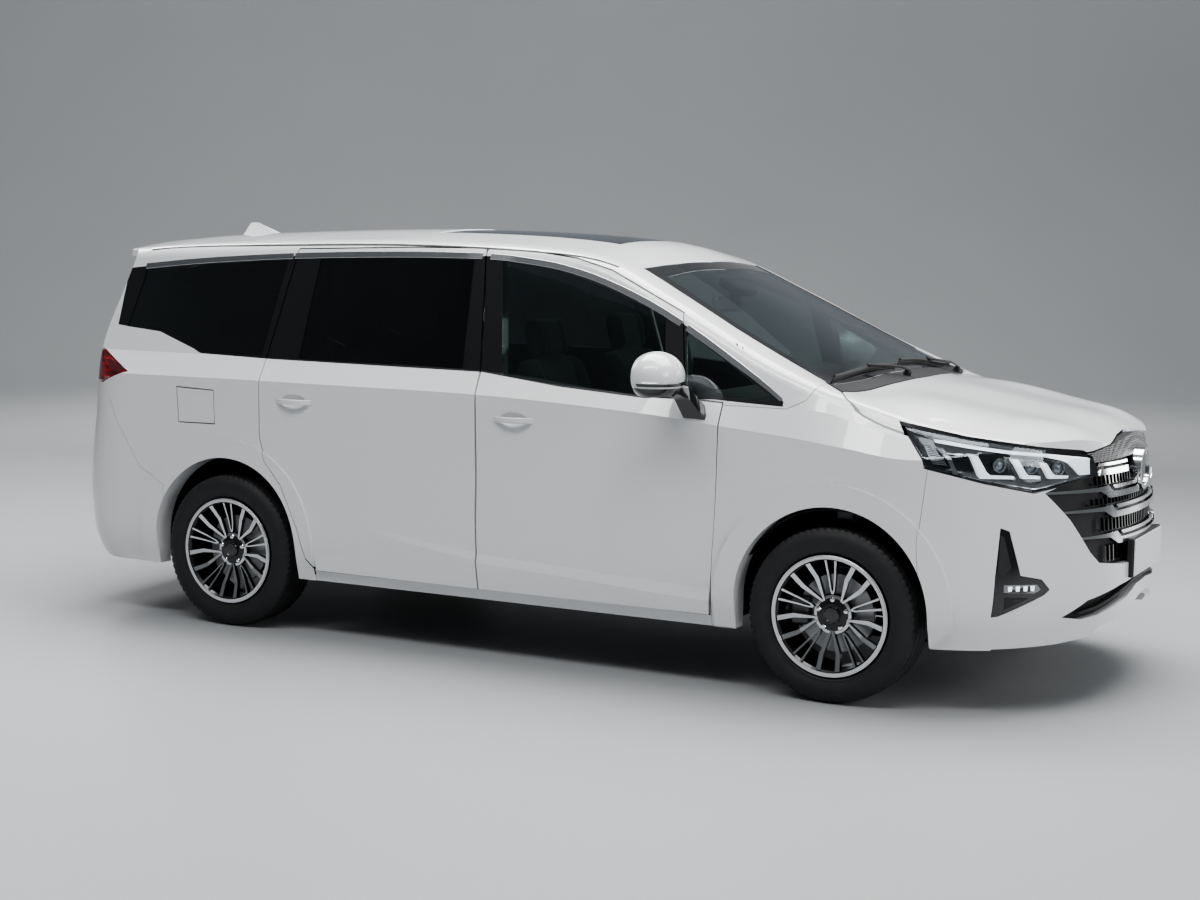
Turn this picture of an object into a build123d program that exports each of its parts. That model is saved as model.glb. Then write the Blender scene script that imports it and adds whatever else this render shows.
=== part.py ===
from build123d import *
import math
import os

# Seven-seat minivan with four hinged doors, a lifting tailgate and a glass roof panel.
# X runs to the front, Y to the left, Z up. The origin is on the ground under the middle of the vehicle.

# Driving dimensions, mm
front_end = 2390.0
rear_end = -2390.0
body_half_width = 906.0
wheelbase = 2810.0
front_axle_x = 1430.0
wheel_height = 334.0
track = 1584.0
underside = 245.0

tyre_radius = 334.0
tyre_width = 215.0
rim_radius = 216.0
rim_edge = 14.0
rim_width = 176.0
hub_bore = 32.0
stud_circle = 57.15
stud_count = 5
stud_hole = 7.0
axle_clearance = 0.3

arch_radius = 380.0
arch_height = 364.0
arch_band = 88.0
arch_stand = 9.0

skin_side = 92.0
skin_end = 75.0
skin_deck = 38.0
skin_glasshouse = 46.0
skin_roof = 38.0
glass_depth = 3.0
glass_thickness = 5.0
door_gap = 5.0
seam = 2.0
seat_clearance = 0.3

belt_half_width = 845.0
belt_height = 1165.0
tumblehome = 0.32

nose_run = 750.0
nose_fullness = 2.2
tail_run = 400.0
tail_fullness = 2.5
cap_steps = 6

rear_axle_x = front_axle_x - wheelbase
wheel_y = track / 2


# Share of the way along a line of points, by straight distance
def shares_of(points):
    reached = [0.0]
    for first, second in zip(points, points[1:]):
        reached.append(reached[-1] + math.dist(first, second))
    return [value / reached[-1] for value in reached]


# Smooth curve through points with set end directions; equal shares keep a row of sections alike
def spline_through(points, start, end, shares):
    start_speed = math.dist(points[0], points[1]) / (shares[1] - shares[0])
    end_speed = math.dist(points[-2], points[-1]) / (shares[-1] - shares[-2])
    return Edge.make_spline(
        [Vector(*p) for p in points],
        tangents=[Vector(*start).normalized() * start_speed, Vector(*end).normalized() * end_speed],
        parameters=shares,
        scale=False,
    )


# The body is modelled as its left half, from the centre plane out, and mirrored.
# Rounded end in plan, from its tip at the centre out to the straight side
def cap(tip, width, height, run, fullness):
    points = []
    for i in range(cap_steps + 1):
        angle = math.pi / 2 * i / cap_steps
        reach = max(math.cos(angle), 0.0) ** (2 / fullness)
        spread = math.sin(angle) ** (2 / fullness)
        points.append((tip - run * (1 - reach), width * spread, height))
    return points


nose_shares = shares_of(cap(0, body_half_width, 0, nose_run, nose_fullness))
tail_shares = shares_of(cap(0, body_half_width, 0, -tail_run, tail_fullness)[::-1])


# Plan shape of that half at one height: a straight side with a full curved nose and tail
def waterline(height, half_width, nose, tail, side_inset, end_inset):
    width = half_width - side_inset
    nose_points = cap(nose - end_inset, width, height, nose_run, nose_fullness)
    tail_points = cap(tail + end_inset, width, height, -tail_run, tail_fullness)[::-1]
    nose_edge = spline_through(nose_points, (0, 1, 0), (-1, 0, 0), nose_shares)
    tail_edge = spline_through(tail_points, (-1, 0, 0), (0, -1, 0), tail_shares)
    side = Edge.make_line(Vector(*nose_points[-1]), Vector(*tail_points[0]))
    middle = Edge.make_line(Vector(*tail_points[-1]), Vector(*nose_points[0]))
    return Wire([nose_edge, side, tail_edge, middle])


# Height, half width, nose and tail of the body at each level
levels = [
    (underside, 872, 2352, -2330),
    (330, 893, 2376, -2372),
    (440, 907, front_end, -2386),
    (700, 901, 2377, rear_end),
    (900, 904, 2352, -2362),
    (1010, 906, 2326, -2350),
    (1120, 906, 2305, -2338),
    (1230, 890, 2284, -2318),
    (1360, 852, 2262, -2284),
    (1500, 803, 2240, -2246),
    (1650, 750, 2215, -2210),
    (1800, 697, 2190, -2176),
]


def body_ring(side_inset, end_inset):
    wires = [waterline(z, w, nose, tail, side_inset, end_inset) for z, w, nose, tail in levels]
    return Solid.make_loft(wires, False)


# Sections over the length: station, crease height, belt (half width, height),
# edge of roof or bonnet (half width, height), corner size, crown, centre height
stations = [
    (-2450, 1089, 816, 1186, 645, 1547, 54, 42, 1652),
    (-2200, 1089, 822, 1186, 680, 1575, 54, 42, 1680),
    (-1900, 1089, 834, 1186, 706, 1601, 54, 42, 1706),
    (-1450, 1091, 842, 1186, 702, 1623, 54, 42, 1728),
    (-700, 1090, 842, 1184, 696, 1642, 54, 42, 1747),
    (-150, 1087, 844, 1178, 698, 1634, 54, 42, 1739),
    (150, 1078, 850, 1158, 704, 1615, 54, 42, 1720),
    (340, 1069, 857, 1138, 714, 1585, 54, 42, 1690),
    (480, 1061, 861, 1125, 730, 1535, 54, 42, 1640),
    (620, 1053, 865, 1114, 751, 1469, 54, 42, 1574),
    (850, 1034, 868, 1104, 787, 1356, 54, 42, 1461),
    (1100, 1008, 868, 1102, 826, 1233, 54, 42, 1338),
    (1280, 990, 862, 1098, 838, 1160, 52, 40, 1252),
    (1420, 973, 852, 1080, 822, 1112, 46, 36, 1192),
    (1560, 953, 847, 1040, 812, 1072, 44, 34, 1166),
    (1700, 930, 845, 1006, 818, 1034, 46, 34, 1145),
    (2000, 880, 820, 935, 768, 985, 44, 32, 1090),
    (2250, 830, 780, 880, 640, 935, 40, 30, 1026),
    (2450, 790, 760, 836, 560, 880, 36, 28, 955),
]


# Half of the roof or bonnet section, from its side edge to the centre
def top_points(x, edge_y, edge_z, corner, crown, centre):
    return [
        (x, edge_y, edge_z),
        (x, edge_y - 0.37 * corner, edge_z + 0.57 * corner),
        (x, edge_y - corner, edge_z + 0.87 * corner),
        (x, edge_y - 150, centre - crown),
        (x, edge_y * 0.45, centre - crown * 0.33),
        (x, 0, centre),
    ]


top_shares = shares_of(top_points(0, 700, 1642, 54, 42, 1747))


def body_section(station, side_inset, top_side_inset, top_inset):
    x, crease, belt_y, belt_z, edge_y, edge_z, corner, crown, centre = station
    low = 150.0
    wide = body_half_width - side_inset if side_inset > 0 else 960.0
    belt_y = belt_y - top_side_inset
    edge_y = edge_y - top_side_inset
    edge_z = edge_z - top_inset
    centre = centre - top_inset
    slope = (belt_z - crease) / (body_half_width - side_inset - belt_y)
    outer_z = belt_z - slope * (wide - belt_y)
    points = top_points(x, edge_y, edge_z, corner, crown, centre)
    top = spline_through(points, (0, edge_y - belt_y, edge_z - belt_z), (0, -1, 0), top_shares)
    corners = [
        (x, 0, centre),
        (x, 0, low),
        (x, wide, low),
        (x, wide, outer_z),
        (x, belt_y, belt_z),
        (x, edge_y, edge_z),
    ]
    lines = [Edge.make_line(Vector(*a), Vector(*c)) for a, c in zip(corners, corners[1:])]
    return Wire([top] + lines)


def body_tunnel(side_inset, top_side_inset, top_inset):
    wires = [body_section(s, side_inset, top_side_inset, top_inset) for s in stations]
    return Solid.make_loft(wires, False)


# Space inside the body: the tunnel closed by a plain faceted nose and tail
def body_inside(side, end, top_side, top):
    def plan(height, nose, tail):
        nose_x = nose - end
        tail_x = tail + end
        points = [
            (tail_x, 0, height),
            (nose_x, 0, height),
            (nose_x - 40, 330, height),
            (nose_x - 230, 640, height),
            (nose_x - 560, 900, height),
            (tail_x + 330, 900, height),
            (tail_x + 110, 690, height),
            (tail_x + 12, 420, height),
        ]
        return Wire.make_polygon([Vector(*p) for p in points], close=True)

    prism = Solid.make_loft([plan(100, 2376, -2386), plan(1180, 2310, -2340), plan(1850, 2300, -2170)], True)
    return prism & body_tunnel(side, top_side, top)


# Grow or shrink a plain polygon by moving each side along its normal
def grown(points, amount):
    count = len(points)
    area = sum(points[i][0] * points[(i + 1) % count][1] - points[(i + 1) % count][0] * points[i][1] for i in range(count))
    turn = 1 if area > 0 else -1
    result = []
    for i in range(count):
        before, here, after = points[i - 1], points[i], points[(i + 1) % count]
        first = (here[0] - before[0], here[1] - before[1])
        second = (after[0] - here[0], after[1] - here[1])
        length_1 = math.hypot(*first)
        length_2 = math.hypot(*second)
        normal_1 = (turn * first[1] / length_1, -turn * first[0] / length_1)
        normal_2 = (turn * second[1] / length_2, -turn * second[0] / length_2)
        share = 1 + normal_1[0] * normal_2[0] + normal_1[1] * normal_2[1]
        shift = (normal_1[0] + normal_2[0], normal_1[1] + normal_2[1])
        result.append((here[0] + amount * shift[0] / share, here[1] + amount * shift[1] / share))
    return result


def prism(corners, direction):
    face = Face(Wire.make_polygon([Vector(*c) for c in corners], close=True))
    return Solid.extrude(face, Vector(*direction))


# Cutting bodies drawn in side view, plan view and front view, for the left half
def side_tool(points, grow=0.0, near=440.0, far=1000.0):
    return prism([(x, near, z) for x, z in grown(points, grow)], (0, far - near, 0))


def plan_tool(points, low, high, grow=0.0):
    return prism([(x, y, low) for x, y in grown(points, grow)], (0, 0, high - low))


def front_tool(points, near, far, grow=0.0):
    return prism([(near, y, z) for y, z in grown(points, grow)], (far - near, 0, 0))


# Cutting body seen along a diagonal through the nose (facing 1) or the tail (facing -1)
def corner_tool(points, facing, grow=0.0):
    share = math.sqrt(0.5)
    start = 700.0
    reach = 2600.0
    flat = grown([((y - facing * x) * share, z) for x, y, z in points], grow)
    near = [(facing * (start - across) * share, (start + across) * share, z) for across, z in flat]
    return prism(near, (facing * reach * share, reach * share, 0))


def both_sides(shape):
    return shape, mirror(shape, about=Plane.XZ)


def joined(*shapes):
    result = shapes[0]
    for shape in shapes[1:]:
        result = result + shape
    return result


def whole(half):
    return half + mirror(half, about=Plane.XZ)



# Outlines in side view, x and z
front_door_outline = [
    (940, 292), (954, 480), (962, 780), (966, 960), (968, 1103), (808, 1112), (791, 1201), (745, 1434),
    (405, 1590), (236, 1634), (42, 1658), (-179, 1668), (-184, 1660), (-113, 1164), (-102, 1078),
    (-98, 598), (-85, 292),
]
rear_door_outline = [
    (-93, 292), (-106, 598), (-110, 1078), (-121, 1164), (-192, 1660), (-196, 1668), (-541, 1666),
    (-1131, 1650), (-1194, 1180), (-1188, 1097), (-1190, 848), (-1162, 746), (-1072, 644), (-985, 470),
    (-948, 340), (-900, 292),
]
front_window_outline = [(-14, 1163), (258, 1138), (631, 1116), (722, 1114), (676, 1420), (414, 1514), (170, 1584), (-75, 1618), (-104, 1618)]
rear_window_outline = [(-205, 1180), (-238, 1620), (-506, 1624), (-1010, 1612), (-1028, 1186)]
fixed_window_outline = [(818, 1126), (772, 1368), (1045, 1208), (1176, 1130), (1160, 1122)]
quarter_window_outline = [(-1226, 1192), (-1178, 1604), (-1654, 1576), (-1717, 1558), (-1960, 1544), (-2010, 1290), (-1819, 1276), (-1571, 1196)]
fender_outline = [
    (948, 249), (955, 480), (962, 700), (974, 1096), (1230, 1094), (1300, 1128), (1345, 1200), (1500, 1300),
    (1860, 1300), (1790, 905), (1762, 640), (1800, 240),
]
front_bumper_outline = [(1792, 1300), (1792, 905), (1764, 640), (1802, 200), (2600, 200), (2600, 1300)]
rear_bumper_outline = [(-2062, 1044), (-1983, 864), (-1861, 674), (-1716, 602), (-1716, 200), (-2600, 200), (-2600, 1044)]
fuel_flap_outline = [(-1638, 1040), (-1440, 1034), (-1436, 892), (-1630, 890)]

# Outlines in plan, x and y
bonnet_outline = [
    (1486, -1), (1474, 300), (1446, 560), (1408, 752), (1440, 790), (1514, 812), (1600, 822), (1690, 826), (1800, 822),
    (1900, 792), (2060, 728), (2262, 610), (2350, 500), (2420, -1),
]
windscreen_outline = [(1400, -1), (1388, 400), (1340, 716), (930, 664), (470, 572), (500, 300), (514, -1)]
sunroof_outline = [(262, -1), (250, 343), (-640, 343), (-640, -1)]

# Outlines from ahead or behind, y and z
grille_outline = [
    (-1, 1002), (123, 994), (304, 972), (420, 956), (480, 952), (506, 882), (660, 824), (572, 722), (486, 593), (440, 551),
    (273, 530), (-1, 530),
]
lower_grille_outline = [
    (-1, 476), (130, 470), (292, 452), (495, 417), (600, 363), (506, 346), (413, 354), (225, 397), (130, 436), (-1, 446),
]
chin_outline = [(-10, 396), (61, 388), (250, 333), (393, 300), (418, 273), (576, 258), (760, 250), (760, 200), (-10, 200)]
tailgate_outline = [(-1, 640), (600, 640), (690, 760), (708, 1040), (706, 1200), (652, 1600), (640, 1800), (-1, 1800)]
tailgate_window_outline = [(-1, 1196), (610, 1210), (566, 1540), (-1, 1560)]

# Outlines as points on the corners of the body
headlamp_outline = [
    (1690, 830, 1060), (1700, 836, 1020), (1783, 889, 911), (1978, 810, 862), (2130, 689, 825), (2252, 508, 864),
    (2291, 410, 871), (2274, 423, 940), (2248, 480, 962), (2142, 647, 982), (1939, 817, 1018),
]
fog_outline = [
    (2040, 783, 699), (2064, 763, 688), (2103, 742, 527), (2165, 682, 510), (2188, 657, 473), (2176, 674, 456),
    (2038, 783, 381), (2018, 798, 377), (2030, 800, 525),
]
tail_lamp_outline = [(-1917, 890, 1097), (-2114, 800, 1193), (-2330, 640, 1170), (-2330, 640, 1038), (-2052, 850, 1041)]

tailgate_line_x = -1998.0

# Centres of the door handles in side view
front_handle = (72.0, 992.0)
rear_handle = (-1010.0, 1008.0)

# Plan outline of the roof spoiler at the top of the tailgate
spoiler_outline = [(-1998, -1), (-1998, 645), (-2112, 640), (-2158, 580), (-2200, 400), (-2222, 200), (-2228, -1)]
spoiler_depth = 26.0


# Space behind the swinging rear edge of a door, so that the thick edge clears its neighbour
def swing_relief(edge):
    def skin(z):
        if z < 1091:
            return body_half_width
        if z < 1184:
            return body_half_width - (z - 1091) * 0.688
        return glass_plane(z)

    wires = []
    for x, z in edge:
        y = skin(z)
        share = 0.16 if z < 1150 else 0.34
        corners = [(x, y), (x + share * 140, y - 140), (x - 90, y - 140), (x - 90, y)]
        wires.append(Wire.make_polygon([Vector(a, b, z) for a, b in corners], close=True))
    return Solid.make_loft(wires, True)


def glass_plane(z):
    return belt_half_width + 3 - tumblehome * (z - belt_height)


def wheel_cylinder(x, z, radius, near, far):
    return Pos(x, (near + far) / 2, z) * (Rot(90, 0, 0) * Cylinder(radius, far - near))


def arch_tool(radius, near, far):
    front = wheel_cylinder(front_axle_x, arch_height, radius, near, far)
    rear = wheel_cylinder(rear_axle_x, arch_height, radius, near, far)
    front_below = Pos(front_axle_x, (near + far) / 2, arch_height / 2 - 100) * Box(2 * radius, far - near, arch_height + 200)
    rear_below = Pos(rear_axle_x, (near + far) / 2, arch_height / 2 - 100) * Box(2 * radius, far - near, arch_height + 200)
    return front + front_below, rear + rear_below


# Rounded block between two corners
def block(low, high, radius=0.0):
    size = [b - a for a, b in zip(low, high)]
    centre = [(a + b) / 2 for a, b in zip(low, high)]
    shape = Pos(*centre) * Box(*size)
    if radius > 0:
        shape = fillet(shape.edges(), radius)
    return shape


bonnet_gap = 8.0
bonnet_skin = 16.0
bonnet_edge = 60.0
bonnet_frame_end = 2090.0
flap_depth = 8.0

os.makedirs("parts", exist_ok=True)


def save(shape, name):
    export_step(shape, "parts/" + name + ".step")


def solids_of(shape):
    found = shape.solids()
    return found[0] if len(found) == 1 else Compound(children=list(found))


# Main solid of a cut shape, without slivers left beside a neighbour's edge
def largest(shape):
    return max(shape.solids(), key=lambda solid: solid.volume)


def save_sides(half, name):
    left, right = both_sides(half)
    save(solids_of(left), name + "_left")
    save(solids_of(right), name + "_right")


def save_pair(half, name):
    left, right = both_sides(half)
    save(Compound(children=list(left.solids()) + list(right.solids())), name)


def save_group(shapes, name):
    save(Compound(children=[solid for shape in shapes for solid in shape.solids()]), name)


def save_whole(half, name):
    save(solids_of(whole(half)), name)


# Body shell of the left half, before the panels are parted
outer = body_ring(0, 0) & body_tunnel(0, 0, 0)
inside = body_inside(skin_side, skin_end, skin_glasshouse, skin_roof)
arches = arch_tool(arch_radius, 520, 1000)
bands = arch_tool(arch_radius + arch_band, 860, 1000)
band_ring = body_ring(-arch_stand, -arch_stand)
shell = outer - inside
for band in bands:
    strip = (band_ring & band) & (Pos(0, 500, underside + 400) * Box(6000, 1200, 800))
    shell = shell + (strip - inside)
for arch in arches:
    shell = shell - arch
floor_space_half_width = body_half_width - skin_side
floor_space = Pos(0, floor_space_half_width / 2, 165) * Box(4600, floor_space_half_width, 330)
shell = shell - (floor_space & body_ring(skin_side, skin_end))

# Windscreen opening and the black cowl between windscreen and bonnet
cowl_outline = [(1400, -1), (1476, -1), (1464, 300), (1436, 556), (1398, 740), (1340, 716), (1388, 400)]
rest = shell - plan_tool(windscreen_outline, 1100, 1800)
cowl = rest & plan_tool(cowl_outline, 1050, 1300)
rest = rest - plan_tool(cowl_outline, 1050, 1300, 2 * bonnet_gap)

# Bonnet: a thin skin with a stiffening frame inside its edge
bonnet_lip = 950.0
lamp_top_depth = 36.0
skin = (outer - Pos(0, 0, -bonnet_skin) * outer) & plan_tool(bonnet_outline, bonnet_lip, 1300)
skin = skin - front_tool(grille_outline, 2100, 2600, bonnet_gap)
skin = skin - corner_tool(headlamp_outline, 1, bonnet_gap)
frame_outer = Pos(0, 0, 2 - bonnet_skin) * outer
frame = (frame_outer - Pos(0, 0, -skin_deck) * outer) & plan_tool(bonnet_outline, bonnet_lip, 1300, -bonnet_edge)
frame = frame & block((1400, -1, bonnet_lip), (bonnet_frame_end, 1000, 1300))
bonnet = skin + frame
lamp_top = corner_tool(headlamp_outline, 1) - plan_tool(bonnet_outline, 800, 1400, -lamp_top_depth)
rest = rest - (plan_tool(bonnet_outline, bonnet_lip - bonnet_gap, 1400, bonnet_gap) - lamp_top)



# Lamp cut from the shell with an open seam around it, seated by a flange below the skin
def lamp_from(shell_part, outline, facing):
    flange_depth = 18.0
    lens = shell_part & corner_tool(outline, facing)
    deep = Pos(-facing * flange_depth, -flange_depth, 0) * outer
    flange = (shell_part & corner_tool(outline, facing, seam - seat_clearance)) & deep
    return lens + flange, shell_part - corner_tool(outline, facing, seam)


headlamp, rest = lamp_from(rest, headlamp_outline, 1)
fog_bezel, rest = lamp_from(rest, fog_outline, 1)
grille_opening = front_tool(grille_outline, 1900, 2600)
lower_opening = front_tool(lower_grille_outline, 1900, 2600)
rest = rest - grille_opening - lower_opening
rest = rest - front_tool(chin_outline, 1900, 2600)
front_bumper = largest(rest & side_tool(front_bumper_outline, near=-10))
rest = rest - side_tool(front_bumper_outline, seam, near=-10)
fender = rest & side_tool(fender_outline)
rest = rest - side_tool(fender_outline, seam)

# Room inboard of the window frames, so that a door's upper frame stays as thin as the side wall
def frame_limit(z):
    return glass_plane(z) - skin_glasshouse - 4


frame_room = prism([
    (-1400, 300, 1192), (-1400, frame_limit(1192), 1192), (-1400, frame_limit(1720), 1720), (-1400, 300, 1720),
], (2400, 0, 0))


# Grip over an oval cup, centred on the door's outer surface
handle_half = 108.0
handle_rise = 30.0
handle_height = 22.0
cup_size = (66.0, 20.0, 33.0)


def handle_cup(x, z):
    return Pos(x, body_half_width + 4, z) * scale(Sphere(1), by=cup_size)


def handle_grip(x, z):
    low = z - handle_height / 2
    base = body_half_width - 12
    crest = body_half_width + handle_rise
    outer_arc = Edge.make_three_point_arc((x - handle_half, base, low), (x, crest, low), (x + handle_half, base, low))
    inner_half = handle_half - 16
    inner_arc = Edge.make_three_point_arc((x + inner_half, base, low), (x, crest - 12, low), (x - inner_half, base, low))
    ends = [
        Edge.make_line((x + handle_half, base, low), (x + inner_half, base, low)),
        Edge.make_line((x - inner_half, base, low), (x - handle_half, base, low)),
    ]
    grip = Solid.extrude(Face(Wire([outer_arc, ends[0], inner_arc, ends[1]])), Vector(0, 0, handle_height))
    return fillet(grip.edges().filter_by(GeomType.CIRCLE), 4)


# Flared lower edge of a door: a wedge whose upper edge is the crease that rises to the rear
flare_stand = 11.0
flare_fade = 55.0


def flare(points):
    wires = []
    for x, crease, share in points:
        stand = flare_stand * share
        corners = [(880, crease + flare_fade), (902, crease + flare_fade), (905 + stand, crease), (896 + stand * 0.6, 292), (880, 292)]
        wires.append(Wire.make_polygon([Vector(x, y, z) for y, z in corners], close=True))
    return Solid.make_loft(wires, True)


front_door = (rest & side_tool(front_door_outline)) - side_tool(front_window_outline)
front_door = front_door - swing_relief([(-85, 240), (-98, 598), (-102, 1080), (-113, 1164), (-184, 1660), (-188, 1720)])
front_door = front_door + (flare([(-110, 402, 1.0), (300, 382, 1.0), (700, 358, 0.8), (960, 344, 0.3)]) & side_tool(front_door_outline))
front_door = front_door - frame_room - handle_cup(*front_handle) + handle_grip(*front_handle)
rest = rest - side_tool(front_door_outline, door_gap)
rear_door = (rest & side_tool(rear_door_outline)) - side_tool(rear_window_outline)
rear_door = rear_door - swing_relief([
    (-900, 240), (-900, 292), (-948, 340), (-985, 470), (-1072, 644), (-1162, 746), (-1190, 848), (-1188, 1097),
    (-1194, 1180), (-1131, 1650), (-1130, 1720),
])
rear_door = rear_door + (flare([(-900, 560, 0.0), (-601, 488, 0.4), (-466, 457, 0.7), (-80, 408, 1.0)]) & side_tool(rear_door_outline))
rear_door = rear_door - frame_room - handle_cup(*rear_handle) + handle_grip(*rear_handle)
rest = rest - side_tool(rear_door_outline, door_gap)

tailgate = (rest & front_tool(tailgate_outline, -2600, tailgate_line_x)) - front_tool(tailgate_window_outline, -2600, -2000)
roof_line = body_tunnel(0, 0, 0)
spoiler = (roof_line - Pos(0, 0, -spoiler_depth) * roof_line) & plan_tool(spoiler_outline, 1585, 1800)
tailgate = tailgate + spoiler
rest = rest - front_tool(tailgate_outline, -2600, tailgate_line_x + door_gap, door_gap)
tail_lamp, rest = lamp_from(rest, tail_lamp_outline, -1)
rear_bumper = rest & side_tool(rear_bumper_outline, near=-10)
rest = rest - side_tool(rear_bumper_outline, seam, near=-10)

rest = rest - side_tool(fixed_window_outline) - side_tool(quarter_window_outline)
rest = rest - plan_tool(sunroof_outline, 1600, 1800)

fuel_flap = outer & side_tool(fuel_flap_outline, near=body_half_width - flap_depth - 2)
flap_pocket = side_tool(fuel_flap_outline, door_gap, near=body_half_width - 30)

body_shell = whole(rest) - mirror(flap_pocket, about=Plane.XZ)
save(solids_of(body_shell), "body_shell")
save(solids_of(mirror(fuel_flap, about=Plane.XZ)), "fuel_flap")
save_whole(bonnet, "bonnet")
save_pair(headlamp, "headlamps")
save_pair(fog_bezel, "fog_lamps")
save_whole(front_bumper, "front_bumper")
save_pair(fender, "front_wings")
save_sides(front_door, "front_door")
save_sides(rear_door, "rear_door")
save_whole(tailgate, "tailgate")
save_pair(tail_lamp, "tail_lamps")
save_whole(rear_bumper, "rear_bumper")
save_whole(cowl, "cowl")

# Glass sits a little inside the outer surface, in openings drawn from the same outlines
glass_outer = body_tunnel(0, glass_depth, glass_depth)
glass_inner = body_tunnel(0, glass_depth + glass_thickness, glass_depth + glass_thickness)
front_glass = (glass_outer & side_tool(front_window_outline, -seat_clearance)) - glass_inner
rear_glass = (glass_outer & side_tool(rear_window_outline, -seat_clearance)) - glass_inner
fixed_glass = (glass_outer & side_tool(fixed_window_outline, -seat_clearance)) - glass_inner
quarter_glass = (glass_outer & side_tool(quarter_window_outline, -seat_clearance)) - glass_inner
windscreen = (glass_outer & plan_tool(windscreen_outline, 1100, 1800, -seat_clearance)) - glass_inner
sunroof = (glass_outer & plan_tool(sunroof_outline, 1600, 1800, -seat_clearance)) - glass_inner
rear_screen = (body_ring(0, glass_depth) & front_tool(tailgate_window_outline, -2600, -2000, -seat_clearance))
rear_screen = rear_screen - body_ring(0, glass_depth + glass_thickness)
save_sides(front_glass, "front_door_glass")
save_sides(rear_glass, "rear_door_glass")
save_group([whole(windscreen), *both_sides(fixed_glass)], "front_fixed_glass")
save_group([whole(sunroof), *both_sides(quarter_glass)], "rear_fixed_glass")
save_whole(rear_screen, "tailgate_glass")


# Turned part about an axle: profile points as distance along the axle and radius
def turned(points, x, z):
    face = Face(Wire.make_polygon([Vector(r, a, 0) for a, r in points], close=True))
    lathe = Solid.revolve(face, 360, Axis.Y)
    return Pos(x, 0, z) * lathe


# Wheel of the left side; the outer side is towards larger y
disc_radius = 148.0
disc_thickness = 24.0
hub_radius = 74.0
spoke_depth = 20.0
lip_radius = rim_radius + rim_edge
rim_inner = wheel_y - rim_width / 2
rim_outer = wheel_y + rim_width / 2 + 12
mount_face = wheel_y + 38


# Spokes of one fifth of the wheel as radius and angle from the stud's line: a slim pair that closes to a U
# outside the stud, and on each side a spoke that starts between the studs, bends and broadens
spoke_reach = rim_radius - 6
pair_outline = [
    (spoke_reach, 6.6), (92, 5.4), (80, 3.2), (77, 0), (80, -3.2), (92, -5.4), (spoke_reach, -6.6), (spoke_reach, -4.2),
    (96, -2.6), (87, 0), (96, 2.6), (spoke_reach, 4.2),
]
bent_outline = [(spoke_reach, 23.0), (150, 20.2), (60, 30.0), (60, 36.5), (150, 26.6), (spoke_reach, 28.2)]
spoke_outlines = [pair_outline, bent_outline, [(radius, -angle) for radius, angle in bent_outline]]


def spoke_bar(outline, turn, x, z):
    corners = []
    for radius, angle in outline:
        direction = math.radians(turn + angle)
        corners.append((x + radius * math.cos(direction), wheel_y, z + radius * math.sin(direction)))
    return prism(corners, (0, 140, 0))


def wheel_parts(x):
    z = wheel_height
    barrel = turned([
        (rim_inner, lip_radius), (rim_inner, lip_radius - 7), (rim_inner + 14, rim_radius - 8), (wheel_y + 20, rim_radius - 12),
        (rim_outer - 14, rim_radius - 8), (rim_outer, lip_radius - 7), (rim_outer, lip_radius), (rim_outer - 10, lip_radius),
        (rim_outer - 12, rim_radius), (rim_inner + 12, rim_radius), (rim_inner + 10, lip_radius),
    ], x, z)
    dish = turned([
        (mount_face + 10, 0), (mount_face + 24, 60), (mount_face + 38, 140), (rim_outer - 3, spoke_reach),
        (rim_outer - 3 - spoke_depth, spoke_reach), (mount_face + 38 - spoke_depth, 140), (mount_face + 4, 60), (mount_face - 1, 0),
    ], x, z)
    spokes = dish & joined(*[
        spoke_bar(outline, 90 + 360 / stud_count * lug, x, z) for lug in range(stud_count) for outline in spoke_outlines
    ])
    hub = turned([
        (mount_face, hub_bore), (mount_face, hub_radius), (mount_face + 20, hub_radius), (mount_face + 26, 40),
        (mount_face + 26, hub_bore),
    ], x, z)
    studs = []
    for lug in range(stud_count):
        turn = math.radians(360 / stud_count * lug + 90)
        centre = (x + stud_circle * math.cos(turn), z + stud_circle * math.sin(turn))
        studs.append(wheel_cylinder(centre[0], centre[1], stud_hole, mount_face - 10, mount_face + 60))
    rim = barrel + spokes + hub
    for stud in studs:
        rim = rim - stud
    hat = turned([
        (mount_face - 44, 78), (mount_face - 44, disc_radius), (mount_face - 44 + disc_thickness, disc_radius),
        (mount_face - 44 + disc_thickness, 78), (mount_face, 78), (mount_face, hub_bore), (mount_face - 12, hub_bore),
        (mount_face - 12, 68), (mount_face - 44, 68),
    ], x, z)
    half = tyre_width / 2
    bead = rim_radius + seat_clearance
    tyre = turned([
        (rim_inner + 12.3, bead), (rim_inner + 10, lip_radius + 4), (wheel_y - half + 6, lip_radius + 26), (wheel_y - half, 272),
        (wheel_y - half + 5, 300), (wheel_y - half + 20, 321), (wheel_y - half + 42, tyre_radius - 4), (wheel_y - 30, tyre_radius),
        (wheel_y + 30, tyre_radius), (wheel_y + half - 42, tyre_radius - 4), (wheel_y + half - 20, 321),
        (wheel_y + half - 5, 300), (wheel_y + half, 272), (wheel_y + half - 6, lip_radius + 26), (rim_outer - 10, lip_radius + 4),
        (rim_outer - 12.3, bead),
    ], x, z)
    return rim + hat, tyre


for place, x in (("front", front_axle_x), ("rear", rear_axle_x)):
    rim, tyre = wheel_parts(x)
    save_sides(rim, place + "_rim")
    save_sides(tyre, place + "_tyre")

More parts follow.
